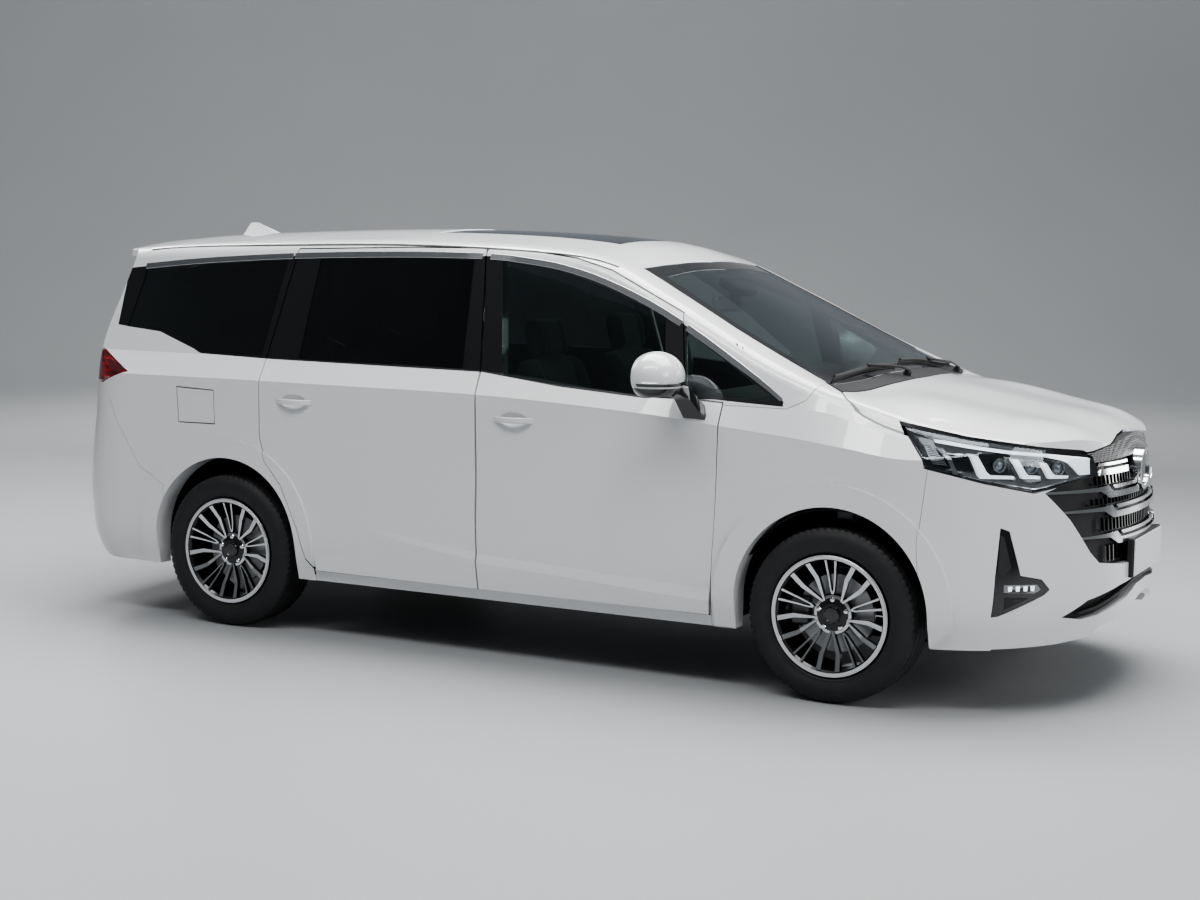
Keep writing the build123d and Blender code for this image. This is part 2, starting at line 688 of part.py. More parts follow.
# Steering knuckle with its stub, calliper and strut, turning about an upright axis
kingpin_y = wheel_y - 72
strut_y = wheel_y - tyre_width / 2 - 36
stub_radius = hub_bore - axle_clearance
knuckle_back = mount_face - 70
arm_top = 226.0
tub_radius = arch_radius + 24
tub_wall = 8.0
tub_inner_y = 490.0
strut_top = arch_height + tub_radius - 1.6
strut_bend = 690.0
knuckle = wheel_cylinder(front_axle_x, wheel_height, stub_radius, knuckle_back - 4, mount_face + 16)
knuckle = knuckle + wheel_cylinder(front_axle_x, wheel_height, 62, knuckle_back - 22, knuckle_back)
knuckle = knuckle + block((front_axle_x - 22, kingpin_y - 24, arm_top + seat_clearance), (front_axle_x + 22, kingpin_y + 18, 500))
knuckle = knuckle + block((front_axle_x - 22, strut_y - 20, 452), (front_axle_x + 22, kingpin_y + 18, 500))
knuckle = knuckle + Pos(front_axle_x, strut_y, (460 + strut_bend) / 2) * Cylinder(27, strut_bend - 460)
knuckle = knuckle + block((front_axle_x - 30, strut_y - 27, strut_bend - 6), (front_axle_x + 30, kingpin_y + 30, strut_bend + 18))
knuckle = knuckle + Pos(front_axle_x, kingpin_y, (strut_bend + strut_top) / 2) * Cylinder(30, strut_top - strut_bend)
calliper = block((front_axle_x - 178, mount_face - 72, wheel_height - 55), (front_axle_x - 100, mount_face + 2, wheel_height + 55), 12)
calliper = calliper - turned([
    (mount_face - 50, 0), (mount_face - 50, disc_radius + 6), (mount_face - 38 + disc_thickness, disc_radius + 6),
    (mount_face - 38 + disc_thickness, 0),
], front_axle_x, wheel_height)
carrier = block((front_axle_x - 130, knuckle_back - 22, wheel_height - 24), (front_axle_x - 10, knuckle_back - 2, wheel_height + 24))
knuckle = knuckle + carrier + calliper
save_sides(knuckle, "front_knuckle")

# Floor with firewall, wheel housings and load floor
floor_low = 290.0
floor_high = 318.0
floor_step = 60.0
load_panel = 12.0
firewall_rear = 1150.0
side_wall = floor_space_half_width - seat_clearance
high_low = floor_low + floor_step
high_top = floor_high + floor_step
floor = block((-1040, -1, floor_low), (1000, side_wall, floor_high))
floor = floor + block((-1040, -1, floor_low), (-1000, 505, high_top))
floor = floor + block((-1800, -1, high_low), (-1000, 505, high_top))
floor = floor + block((-2170, -1, high_low), (-1790, 655, high_top))
floor = floor + block((-2240, -1, high_low), (-2160, 500, high_top))
floor = floor + block((-2150, -1, high_top - 2), (-1880, 490, high_top + load_panel))
floor = floor + block((990, -1, floor_low), (1180, 505, floor_high))
floor = floor + block((firewall_rear, -1, floor_low), (1180, 505, 1100))
floor = floor + block((firewall_rear, -1, arch_height + tub_radius), (1180, 770, 1100))
for x in (front_axle_x, rear_axle_x):
    tub = wheel_cylinder(x, arch_height, tub_radius + tub_wall, tub_inner_y, side_wall)
    tub = tub - wheel_cylinder(x, arch_height, tub_radius, tub_inner_y + tub_wall, side_wall + 10)
    tub = tub - block((x - 600, 400, -200), (x + 600, 1000, floor_low))
    floor = floor + tub
tank = block((-900, 20, 215), (-330, 640, floor_low + 2), 0)
floor_pan = whole(floor) + tank
for x in (front_axle_x, rear_axle_x):
    for side in (1, -1):
        hollow = wheel_cylinder(x, arch_height, tub_radius, tub_inner_y + tub_wall, side_wall + 10)
        if side < 0:
            hollow = mirror(hollow, about=Plane.XZ)
        floor_pan = floor_pan - hollow
beam_low = 296.0
beam_front = rear_axle_x + 150
beam_rear = rear_axle_x + 60
tunnel = block((beam_rear - 8, -700, floor_low - 20), (beam_front + 8, 700, high_low))
floor_pan = floor_pan - tunnel - block((1780, -900, 200), (1900, 900, 520))
save(solids_of(floor_pan), "floor_pan")

# Rear axle: a beam between trailing arms, with stub axles and dampers
beam = block((beam_rear, -20, beam_low), (beam_front, 640, high_low - 4), 10)
arm = block((rear_axle_x - 60, 570, 262), (-1040 - seat_clearance, 640, 330), 10)
stub = wheel_cylinder(rear_axle_x, wheel_height, stub_radius, 560, mount_face + 16)
stub = stub + wheel_cylinder(rear_axle_x, wheel_height, 62, 600, knuckle_back)
damper_top = arch_height + tub_radius - 1.5
damper = Pos(rear_axle_x, 604, (damper_top + 320) / 2) * Cylinder(28, damper_top - 320)
rear_axle = beam + arm + stub + damper
save_whole(rear_axle, "rear_axle")

# Front subframe with lower arms, and the engine block that stands on it
post = block((1100, 380, 200), (1250, 480, 250)) + block((1100, 390, 240), (1170, 470, floor_low - seat_clearance))
subframe = post + block((1180, -20, 190), (1330, 480, 250), 10) + block((1250, 380, 190), (1760, 480, 250), 10)
subframe = subframe + block((1640, -20, 190), (1740, 480, 250), 10)
subframe = subframe + block((front_axle_x - 40, 440, arm_top - 30), (front_axle_x + 40, kingpin_y + 10, arm_top), 8)
save_whole(subframe, "front_subframe")
engine = block((1210, -400, 250 + seat_clearance), (1700, 400, 880), 40)
save(engine, "engine_block")

# Exhaust pipe and silencer under the right side
pipe_radius = 27.0
pipe = Pos(-500, -330, floor_low - pipe_radius - seat_clearance) * (Rot(0, 90, 0) * Cylinder(pipe_radius, 2800))
silencer = block((-2170, -620, 235), (-1890, -250, high_low - seat_clearance), 30)
save(pipe + silencer, "exhaust")

# Dashboard and steering wheel on the left
dash_front = firewall_rear - seat_clearance
dash_outline = [(dash_front, 790), (dash_front, 1085), (1020, 1110), (860, 1085), (780, 1030), (760, 930), (840, 790)]
dashboard = prism([(x, -1, z) for x, z in dash_outline], (0, 760, 0))
driver_y = 370.0
steering_centre = (690.0, driver_y, 1010.0)
steering_tilt = 24.0
steering_radius = 182.0
column_radius = 24.0
wheel_ring = Torus(steering_radius, 14)
boss = Cylinder(62, 40)
arms = Box(2 * steering_radius - 10, 34, 14) + Pos(0, -steering_radius / 2, 0) * Box(40, steering_radius - 10, 14)
column = Pos(0, 0, 90) * Cylinder(column_radius, 180)
to_driver = Pos(*steering_centre) * (Rot(0, 90 + steering_tilt, 0) * Rot(0, 0, 90))
steering_wheel = to_driver * (wheel_ring + boss + arms + column)
column_hole = to_driver * (Pos(0, 0, 150) * Cylinder(column_radius + axle_clearance, 300))
save(steering_wheel, "steering_wheel")
save(solids_of(whole(dashboard) - column_hole), "dashboard")


# Seats: base, back and head restraint of each place
def seat(x, y, width, base_z, floor_z):
    base = block((x, y - width / 2, base_z), (x + 500, y + width / 2, base_z + 150), 40)
    foot = block((x + 60, y - width / 2 + 60, floor_z + seat_clearance), (x + 440, y + width / 2 - 60, base_z + 20))
    back = Pos(x + 20, y, base_z + 110) * (Rot(0, -14, 0) * (Pos(0, 0, 330) * fillet(Box(120, width - 20, 660).edges(), 40)))
    head = Pos(x + 20, y, base_z + 110) * (Rot(0, -14, 0) * (Pos(12, 0, 730) * fillet(Box(90, 260, 170).edges(), 30)))
    return base + foot + back + head


front_seats = seat(60, 370, 510, 470, floor_high)
save_pair(front_seats, "front_seats")
middle = seat(-860, 395, 500, 470, floor_high)
back_row = seat(-1690, 0, 900, 500, floor_high + floor_step)
rear_left, rear_right = both_sides(middle)
save(Compound(children=[rear_left.solids()[0], rear_right.solids()[0], back_row.solids()[0]]), "rear_seats")

# Door mirrors
mirror_centre = (772.0, 1034.0, 1206.0)
mirror_size = (104.0, 122.0, 94.0)
mirror_rear = 712.0
mirror_low = 1132.0
housing = Pos(*mirror_centre) * scale(Sphere(1), by=mirror_size)
housing = housing - block((500, 800, 1000), (mirror_rear, 1300, 1500)) - block((500, 800, 900), (1100, 1300, mirror_low))
stem = Solid.make_loft([
    Wire.make_polygon([Vector(828, 890, 1022), Vector(922, 890, 1022), Vector(906, 890, 1094), Vector(832, 890, 1094)], close=True),
    Wire.make_polygon([Vector(806, 950, 1116), Vector(872, 950, 1116), Vector(866, 950, 1164), Vector(806, 950, 1164)], close=True),
    Wire.make_polygon([Vector(780, 1000, 1140), Vector(846, 1000, 1140), Vector(846, 1000, 1180), Vector(780, 1000, 1180)], close=True),
], True)
door_mirror = housing + Pos(0, seat_clearance, 0) * (stem - outer)
save_sides(door_mirror, "door_mirror")

# Shark fin on the roof
fin_x = -1850.0
fin_base = 1706.0
fin = Solid.make_loft([
    Wire.make_polygon([Vector(fin_x - 100, -36, fin_base), Vector(fin_x + 110, -18, fin_base), Vector(fin_x + 110, 18, fin_base), Vector(fin_x - 100, 36, fin_base)], close=True),
    Wire.make_polygon([Vector(fin_x - 78, -3, 1765), Vector(fin_x - 40, -3, 1765), Vector(fin_x - 40, 3, 1765), Vector(fin_x - 78, 3, 1765)], close=True),
], True)
fin = fin - whole(outer)
save(solids_of(fin), "roof_fin")

# Grille: a dark backing, three full bars and two short bars each side, following the nose
nose = body_ring(0, 0) & block((1900, -1, 200), (2600, 1000, 1100))


def nose_layer(outline, near, far):
    drawn = front_tool(outline, 1900, 2600)
    return ((Pos(-near, 0, 0) * nose) & drawn) - (Pos(-far, 0, 0) * nose)


# Chrome bar standing on the grille's backing, kept inside the grille's opening
def grille_bar(outline, near):
    return nose_layer(outline, near, backing_depth - seat_clearance) & grille_room


# One side of a wing bar: a slim strip from the grille's edge that steps down to a broad bar, with a slim bar above it
def wing_bar(tip_y, tip_z, step_y, inner_y):
    strip = [
        (tip_y, tip_z + 4), (step_y, tip_z + 6), (step_y - 66, tip_z + 9), (step_y - 96, tip_z - 15), (inner_y, tip_z - 15),
        (inner_y, tip_z - 38), (step_y - 72, tip_z - 38), (step_y - 10, tip_z - 10), (tip_y + 8, tip_z - 4),
    ]
    upper = [(step_y - 106, tip_z + 7), (inner_y, tip_z + 7), (inner_y, tip_z - 6), (step_y - 122, tip_z - 6)]
    return [grille_bar(strip, 3), grille_bar(upper, 8)]


backing_depth = 34.0
backing_thickness = 12.0
mesh_outline = [(-1, 1001), (123, 993), (304, 971), (420, 955), (478, 951), (484, 918), (300, 920), (-1, 926)]
grille_room = front_tool(grown(grille_outline, -1), 1900, 2600)
emblem_z = 866.0
emblem_radius = 82.0
emblem_ring = 15.0
short_bar_ends = (158.0, 398.0)
mesh_band = nose_layer(mesh_outline, 9, backing_depth + 6)
backing = nose_layer(grown(grille_outline, -1), backing_depth, backing_depth + backing_thickness)
bars = []
for tip_y, tip_z, step_y, inner_y in ((660, 822, 415, 60), (596, 748, 400, -1), (513, 648, 370, -1)):
    bars += wing_bar(tip_y, tip_z, step_y, inner_y)
for low, high in ((870, 892), (904, 914)):
    near_end, far_end = short_bar_ends
    bars.append(grille_bar([(near_end, low), (far_end, low), (far_end - 14, high), (near_end, high)], 6))
emblem_x = 2326.0
emblem_front = 2372.0
emblem = Pos((emblem_x + emblem_front) / 2, 0, emblem_z) * (Rot(0, 90, 0) * Cylinder(emblem_radius, emblem_front - emblem_x))
hollow = Pos(emblem_front, 0, emblem_z) * (Rot(0, 90, 0) * Cylinder(emblem_radius - emblem_ring, 16))
emblem = (emblem - hollow) & (Pos(0, 500, 900) * Box(6000, 1000, 600))
emblem_seat = Pos(emblem_x, 0, emblem_z) * (Rot(0, 90, 0) * Cylinder(emblem_radius + seat_clearance, 200))
lamp_room = corner_tool(headlamp_outline, 1, seam)
grille = joined(backing, mesh_band) - emblem_seat - lamp_room
grille_bars = joined(emblem, *bars) - lamp_room
lower_backing = nose_layer(grown(lower_grille_outline, -1), 30, 42)
slat = [(-1, 466), (130, 460), (250, 432), (420, 390), (520, 374), (518, 366), (414, 378), (248, 420), (130, 448), (-1, 455)]
lower_grille = lower_backing + nose_layer(slat, 8, 34)
save_group([whole(grille), whole(lower_grille)], "grille")
save_whole(grille_bars, "grille_bars")
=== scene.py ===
import math

import bmesh
import bpy
from mathutils import Matrix, Vector
from mathutils.bvhtree import BVHTree
from mathutils.geometry import tessellate_polygon


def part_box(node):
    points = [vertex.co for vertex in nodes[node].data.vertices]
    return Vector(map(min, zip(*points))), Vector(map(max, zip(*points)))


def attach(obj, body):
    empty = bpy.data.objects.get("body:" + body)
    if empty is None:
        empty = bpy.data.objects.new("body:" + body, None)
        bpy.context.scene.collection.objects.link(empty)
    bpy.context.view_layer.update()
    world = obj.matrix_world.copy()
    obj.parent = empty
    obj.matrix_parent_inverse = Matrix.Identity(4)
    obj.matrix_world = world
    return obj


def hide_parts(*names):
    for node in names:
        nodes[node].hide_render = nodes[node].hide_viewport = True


# Looks of the minivan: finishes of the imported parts, and tyres, seats, lamps and trim around them.
# Metres; X to the front, Y to the left, Z up. A side is its name and the sign of its Y.

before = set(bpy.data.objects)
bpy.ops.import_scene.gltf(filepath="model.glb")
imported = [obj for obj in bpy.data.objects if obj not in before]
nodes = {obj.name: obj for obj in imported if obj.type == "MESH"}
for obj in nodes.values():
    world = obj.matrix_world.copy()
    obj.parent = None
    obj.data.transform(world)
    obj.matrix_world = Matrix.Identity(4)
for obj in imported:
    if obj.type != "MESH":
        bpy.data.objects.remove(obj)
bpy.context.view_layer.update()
SIDES = (("left", 1), ("right", -1))
PLACES = ("front", "rear")

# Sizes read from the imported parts
tyre_low, tyre_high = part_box("front_tyre_left")
tyre_radius = (tyre_high.z - tyre_low.z) / 2
tyre_half = (tyre_high.y - tyre_low.y) / 2
hub_height = (tyre_high.z + tyre_low.z) / 2
wheel_y = (tyre_high.y + tyre_low.y) / 2
rim_low, rim_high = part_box("front_rim_left")
rim_radius = (rim_high.z - rim_low.z) / 2
rim_face = rim_high.y
axle_x = {place: sum(corner.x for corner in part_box(f"{place}_tyre_left")) / 2 for place in PLACES}
body_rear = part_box("body_shell")[0].x
hub_face = wheel_y + 0.064


# Shader groups
def group(name, inputs, outputs, build):
    """A node group; build gets its tree, its input node and its output node"""
    tree = bpy.data.node_groups.new(name, "ShaderNodeTree")
    for label, kind, value in inputs:
        socket = tree.interface.new_socket(label, in_out="INPUT", socket_type=kind)
        socket.default_value = value
    for label, kind in outputs:
        tree.interface.new_socket(label, in_out="OUTPUT", socket_type=kind)
    build(tree, tree.nodes.new("NodeGroupInput"), tree.nodes.new("NodeGroupOutput"))
    return tree


def join(tree, source, target):
    """Links an output to an input"""
    tree.links.new(source, target)


def math_node(tree, operation, first, second=None):
    """Result of an operation on one or two values, each a number or an output"""
    node = tree.nodes.new("ShaderNodeMath")
    node.operation = operation
    for slot, value in zip(node.inputs, (first, second)):
        if value is None:
            continue
        if isinstance(value, (int, float)):
            slot.default_value = value
        else:
            join(tree, value, slot)
    return node.outputs[0]


def mix_colour(tree, factor, first, second):
    """Two colours mixed by a factor"""
    node = tree.nodes.new("ShaderNodeMix")
    node.data_type = "RGBA"
    for slot, value in ((0, factor), (6, first), (7, second)):
        if isinstance(value, (int, float, tuple)):
            node.inputs[slot].default_value = value
        else:
            join(tree, value, node.inputs[slot])
    return node.outputs[2]


def noise(tree, place, scale, detail=3.0):
    """Cloudy pattern from 0 to 1"""
    node = tree.nodes.new("ShaderNodeTexNoise")
    node.inputs["Scale"].default_value = scale
    node.inputs["Detail"].default_value = detail
    join(tree, place, node.inputs["Vector"])
    return node.outputs["Fac"]


def bump_of(tree, height, strength, distance):
    """Normal from a height pattern"""
    node = tree.nodes.new("ShaderNodeBump")
    node.inputs["Strength"].default_value = strength
    node.inputs["Distance"].default_value = distance
    join(tree, height, node.inputs["Height"])
    return node.outputs["Normal"]


def grain_group():
    """Fine moulded grain as a normal, and a slow variation of tone"""

    def build(tree, given, result):
        place = tree.nodes.new("ShaderNodeTexCoord").outputs["Object"]
        node = tree.nodes.new("ShaderNodeTexNoise")
        join(tree, place, node.inputs["Vector"])
        join(tree, given.outputs["Scale"], node.inputs["Scale"])
        node.inputs["Detail"].default_value = 4.0
        bump = tree.nodes.new("ShaderNodeBump")
        bump.inputs["Distance"].default_value = 0.0006
        join(tree, given.outputs["Strength"], bump.inputs["Strength"])
        join(tree, node.outputs["Fac"], bump.inputs["Height"])
        join(tree, bump.outputs["Normal"], result.inputs["Normal"])
        join(tree, noise(tree, place, 9.0, 2.0), result.inputs["Tone"])

    inputs = [("Scale", "NodeSocketFloat", 900.0), ("Strength", "NodeSocketFloat", 0.25)]
    return group("grain", inputs, [("Normal", "NodeSocketVector"), ("Tone", "NodeSocketFloat")], build)


def weave_group():
    """Woven cloth: crossed threads as a normal and as light and dark"""

    def build(tree, given, result):
        place = tree.nodes.new("ShaderNodeTexCoord").outputs["Object"]
        threads = []
        for axis in ("X", "Y", "Z"):
            wave = tree.nodes.new("ShaderNodeTexWave")
            wave.bands_direction = axis
            wave.inputs["Scale"].default_value = 190.0
            wave.inputs["Distortion"].default_value = 0.6
            join(tree, place, wave.inputs["Vector"])
            threads.append(wave.outputs["Fac"])
        pattern = math_node(tree, "MAXIMUM", threads[0], math_node(tree, "MAXIMUM", threads[1], threads[2]))
        join(tree, bump_of(tree, pattern, 0.35, 0.0007), result.inputs["Normal"])
        join(tree, math_node(tree, "MULTIPLY_ADD", pattern, 0.5), result.inputs["Tone"])

    return group("weave", [], [("Normal", "NodeSocketVector"), ("Tone", "NodeSocketFloat")], build)


# Side-view lines of the dark window band: its lower and its upper edge as x and z
belt_line = [
    (-2.10, 1.300), (-2.00, 1.290), (-1.79, 1.273), (-1.67, 1.235), (-1.56, 1.189),
    (-1.18, 1.180), (-0.11, 1.172), (0.26, 1.131), (0.63, 1.106), (0.93, 1.115), (1.22, 1.102),
]
chrome_line = [
    (-2.10, 1.548), (-1.965, 1.561), (-1.64, 1.593), (-1.11, 1.6245), (-0.54, 1.639), (-0.15, 1.638),
    (0.04, 1.620), (0.20, 1.598), (0.41, 1.542), (0.70, 1.425), (1.10, 1.199), (1.21, 1.124),
]
band_rear, band_front = -2.07, 1.215
band_inner = 0.6
curve_base = 1.0


def band_group():
    """1 inside the dark band that joins the side windows, by the point's place in side view"""

    def line_height(tree, along, line):
        """Height of a line at a place along the vehicle, from a curve above curve_base"""
        low, high = line[0][0], line[-1][0]
        node = tree.nodes.new("ShaderNodeFloatCurve")
        curve = node.mapping.curves[0]
        points = [((x - low) / (high - low), z - curve_base) for x, z in line]
        for point, (x, z) in zip(curve.points, (points[0], points[-1])):
            point.location = (x, z)
        for x, z in points[1:-1]:
            curve.points.new(x, z)
        for point in curve.points:
            point.handle_type = "VECTOR"
        node.mapping.update()
        share = math_node(tree, "DIVIDE", math_node(tree, "SUBTRACT", along, low), high - low)
        join(tree, share, node.inputs["Value"])
        return math_node(tree, "ADD", node.outputs[0], curve_base)

    def build(tree, given, result):
        place = tree.nodes.new("ShaderNodeTexCoord").outputs["Object"]
        split = tree.nodes.new("ShaderNodeSeparateXYZ")
        join(tree, place, split.inputs[0])
        along, across, height = split.outputs
        above = math_node(tree, "GREATER_THAN", height, line_height(tree, along, belt_line))
        below = math_node(tree, "LESS_THAN", height, line_height(tree, along, chrome_line))
        ahead = math_node(tree, "GREATER_THAN", along, band_rear)
        behind = math_node(tree, "LESS_THAN", along, band_front)
        aside = math_node(tree, "GREATER_THAN", math_node(tree, "ABSOLUTE", across), band_inner)
        inside = above
        for test in (below, ahead, behind, aside):
            inside = math_node(tree, "MULTIPLY", inside, test)
        join(tree, inside, result.inputs["Band"])

    return group("window_band", [], [("Band", "NodeSocketFloat")], build)


grain = grain_group()
weave = weave_group()
window_band = band_group()


# Materials
def new_material(name):
    """An empty material with its node tree and its surface shader"""
    material = bpy.data.materials.new(name)
    material.use_nodes = True
    tree = material.node_tree
    return material, tree, tree.nodes["Principled BSDF"]


def use_group(tree, shared, **values):
    """Places a node group with its own values"""
    node = tree.nodes.new("ShaderNodeGroup")
    node.node_tree = shared
    for label, value in values.items():
        node.inputs[label].default_value = value
    return node


def rgba(colour):
    """A colour with full cover"""
    return (*colour, 1.0)


def plain(name, colour, roughness=0.5, metallic=0.0, coat=0.0, grain_scale=700.0, grain_strength=0.12):
    """Moulded, cast or plated finish with fine grain"""
    material, tree, shader = new_material(name)
    texture = use_group(tree, grain, Scale=grain_scale, Strength=grain_strength)
    dark = tuple(value * 0.93 for value in colour)
    tone = mix_colour(tree, texture.outputs["Tone"], rgba(dark), rgba(colour))
    join(tree, tone, shader.inputs["Base Color"])
    join(tree, texture.outputs["Normal"], shader.inputs["Normal"])
    shader.inputs["Roughness"].default_value = roughness
    shader.inputs["Metallic"].default_value = metallic
    shader.inputs["Coat Weight"].default_value = coat
    shader.inputs["Coat Roughness"].default_value = 0.03
    return material


def cloth(name, dark, light):
    """Woven seat cover between two tones"""
    material, tree, shader = new_material(name)
    texture = use_group(tree, weave)
    tone = mix_colour(tree, texture.outputs["Tone"], rgba(dark), rgba(light))
    join(tree, tone, shader.inputs["Base Color"])
    join(tree, texture.outputs["Normal"], shader.inputs["Normal"])
    shader.inputs["Roughness"].default_value = 0.85
    shader.inputs["Sheen Weight"].default_value = 0.3
    return material


pearl_dark, pearl_light = (0.74, 0.75, 0.765, 1.0), (0.83, 0.835, 0.84, 1.0)
band_black = (0.006, 0.006, 0.007, 1.0)


def paint_material(name, with_band):
    """White pearl lacquer; with_band turns the surface between the window lines gloss black"""
    material, tree, shader = new_material(name)
    place = tree.nodes.new("ShaderNodeTexCoord").outputs["Object"]
    flake = noise(tree, place, 2600.0, 1.0)
    colour = mix_colour(tree, flake, pearl_dark, pearl_light)
    if with_band:
        band = use_group(tree, window_band).outputs["Band"]
        colour = mix_colour(tree, band, colour, band_black)
    join(tree, colour, shader.inputs["Base Color"])
    shader.inputs["Roughness"].default_value = 0.32
    shader.inputs["Metallic"].default_value = 0.0
    shader.inputs["Coat Weight"].default_value = 1.0
    shader.inputs["Coat Roughness"].default_value = 0.02
    return material


def glass_material(name, tint, reflect=0.06, slant_blend=0.22):
    """Pane that lets tinted light straight through and mirrors more at a slant"""
    material, tree, shader = new_material(name)
    tree.nodes.remove(shader)
    through = tree.nodes.new("ShaderNodeBsdfTransparent")
    mirror = tree.nodes.new("ShaderNodeBsdfGlossy")
    slant = tree.nodes.new("ShaderNodeLayerWeight")
    blend = tree.nodes.new("ShaderNodeMixShader")
    place = tree.nodes.new("ShaderNodeTexCoord").outputs["Object"]
    darker = tuple(value * 0.96 for value in tint)
    shade = mix_colour(tree, noise(tree, place, 1.5, 1.0), rgba(darker), rgba(tint))
    join(tree, shade, through.inputs["Color"])
    mirror.inputs["Roughness"].default_value = 0.01
    mirror.inputs["Color"].default_value = (0.9, 0.95, 1.0, 1.0)
    slant.inputs["Blend"].default_value = slant_blend
    join(tree, math_node(tree, "MAXIMUM", slant.outputs["Facing"], reflect), blend.inputs[0])
    join(tree, through.outputs[0], blend.inputs[1])
    join(tree, mirror.outputs[0], blend.inputs[2])
    join(tree, blend.outputs[0], tree.nodes["Material Output"].inputs["Surface"])
    return material


def glow(name, colour, strength):
    """Lit lamp part"""
    material, tree, shader = new_material(name)
    texture = use_group(tree, grain)
    dark = tuple(value * 0.9 for value in colour)
    tone = mix_colour(tree, texture.outputs["Tone"], rgba(dark), rgba(colour))
    join(tree, tone, shader.inputs["Base Color"])
    shader.inputs["Emission Color"].default_value = rgba(colour)
    shader.inputs["Emission Strength"].default_value = strength
    shader.inputs["Roughness"].default_value = 0.15
    shader.inputs["Coat Weight"].default_value = 1.0
    return material


def rubber_material():
    """Tyre and seal rubber with a little dust; in the door gaps the same black is also painted shade that
    darkens the shut lines
    """
    material, tree, shader = new_material("tyre_rubber")
    place = tree.nodes.new("ShaderNodeTexCoord").outputs["Object"]
    dust = noise(tree, place, 14.0, 5.0)
    tone = mix_colour(tree, dust, (0.012, 0.012, 0.013, 1.0), (0.026, 0.026, 0.028, 1.0))
    join(tree, tone, shader.inputs["Base Color"])
    join(tree, bump_of(tree, noise(tree, place, 500.0), 0.25, 0.0008), shader.inputs["Normal"])
    shader.inputs["Roughness"].default_value = 0.62
    return material


def mesh_material():
    """Black grille band with a fine diamond mesh"""
    material, tree, shader = new_material("grille_mesh")
    place = tree.nodes.new("ShaderNodeTexCoord").outputs["Object"]
    holes = tree.nodes.new("ShaderNodeTexVoronoi")
    holes.inputs["Scale"].default_value = 130.0
    holes.inputs["Randomness"].default_value = 0.0
    join(tree, place, holes.inputs["Vector"])
    cell = holes.outputs["Distance"]
    tone = mix_colour(tree, cell, (0.004, 0.004, 0.004, 1.0), (0.09, 0.09, 0.095, 1.0))
    join(tree, tone, shader.inputs["Base Color"])
    join(tree, bump_of(tree, cell, 0.8, 0.003), shader.inputs["Normal"])
    shader.inputs["Roughness"].default_value = 0.3
    shader.inputs["Metallic"].default_value = 0.4
    return material


paint = paint_material("pearl_paint", False)
banded_paint = paint_material("pearl_paint_and_band", True)
gloss_black = plain("gloss_black", (0.008, 0.008, 0.009), 0.12, coat=1.0, grain_strength=0.0)
grained_black = plain("grained_black", (0.020, 0.020, 0.021), 0.55)
dark_pocket = plain("dark_pocket", (0.012, 0.012, 0.013), 0.28, 0.2, coat=0.5)
under_black = plain("under_black", (0.015, 0.015, 0.016), 0.7)
dash_black = plain("dash_black", (0.022, 0.021, 0.021), 0.6, grain_scale=420.0, grain_strength=0.35)
trim_grey = plain("trim_grey", (0.055, 0.053, 0.052), 0.7, grain_scale=420.0, grain_strength=0.3)
lining = plain("lining", (0.42, 0.40, 0.38), 0.9, grain_scale=300.0, grain_strength=0.4)
chrome = plain("chrome", (0.90, 0.91, 0.92), 0.12, 1.0, grain_strength=0.0)
satin_chrome = plain("satin_chrome", (0.70, 0.71, 0.72), 0.2, 1.0, grain_strength=0.02)
machined = plain("machined_alloy", (0.72, 0.73, 0.74), 0.24, 1.0, coat=0.4, grain_strength=0.03)
steel = plain("steel", (0.42, 0.42, 0.43), 0.4, 0.9, grain_strength=0.2)
casting = plain("casting", (0.22, 0.22, 0.23), 0.55, 0.7, grain_strength=0.5)
rubber_and_gap_shade = rubber_material()
grille_mesh = mesh_material()
clear_glass = glass_material("clear_glass", (0.62, 0.68, 0.66))
dark_glass = glass_material("dark_glass", (0.23, 0.24, 0.245))
lens_glass = glass_material("lens_glass", (0.94, 0.96, 0.97), 0.03, 0.10)
red_lens = glass_material("red_lens", (0.70, 0.03, 0.04), 0.06, 0.15)
red_part = plain("red_part", (0.42, 0.008, 0.012), 0.25, coat=1.0)
lamp_bright = glow("lamp_bright", (0.92, 0.95, 1.0), 0.9)
tail_glow = glow("tail_glow", (1.0, 0.06, 0.04), 0.5)
lamp_grey = plain("lamp_grey", (0.30, 0.31, 0.32), 0.3, 0.7)
lamp_dark = plain("lamp_dark", (0.010, 0.010, 0.011), 0.16, coat=0.8)
mirror_glass = plain("mirror_glass", (0.80, 0.82, 0.84), 0.02, 1.0, grain_strength=0.0)
seat_cloth = cloth("seat_cloth", (0.022, 0.022, 0.024), (0.075, 0.075, 0.08))
plate_white = plain("plate_white", (0.78, 0.79, 0.80), 0.35)


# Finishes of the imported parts
def finish_node(name, *materials):
    """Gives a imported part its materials; the first one covers it all"""
    mesh = nodes[name].data
    mesh.materials.clear()
    for material in materials:
        mesh.materials.append(material)
    for face in mesh.polygons:
        face.material_index = 0


def refinish(name, index, test):
    """Gives the faces that pass the test, of centre and normal, another of the part's materials"""
    for face in nodes[name].data.polygons:
        if test(face.center, face.normal):
            face.material_index = index


door_names = [f"{place}_door_{side}" for place in PLACES for side, _ in SIDES]
for name in ("front_bumper", "rear_bumper", "bonnet", "fuel_flap", "roof_fin"):
    finish_node(name, paint, under_black)
for name in ("body_shell", "front_wings", "tailgate", *door_names):
    finish_node(name, banded_paint, trim_grey, lining, rubber_and_gap_shade)
for name in ("front_bumper", "rear_bumper"):
    refinish(name, 1, lambda centre, normal: normal.z < -0.8 and centre.z < 0.3)
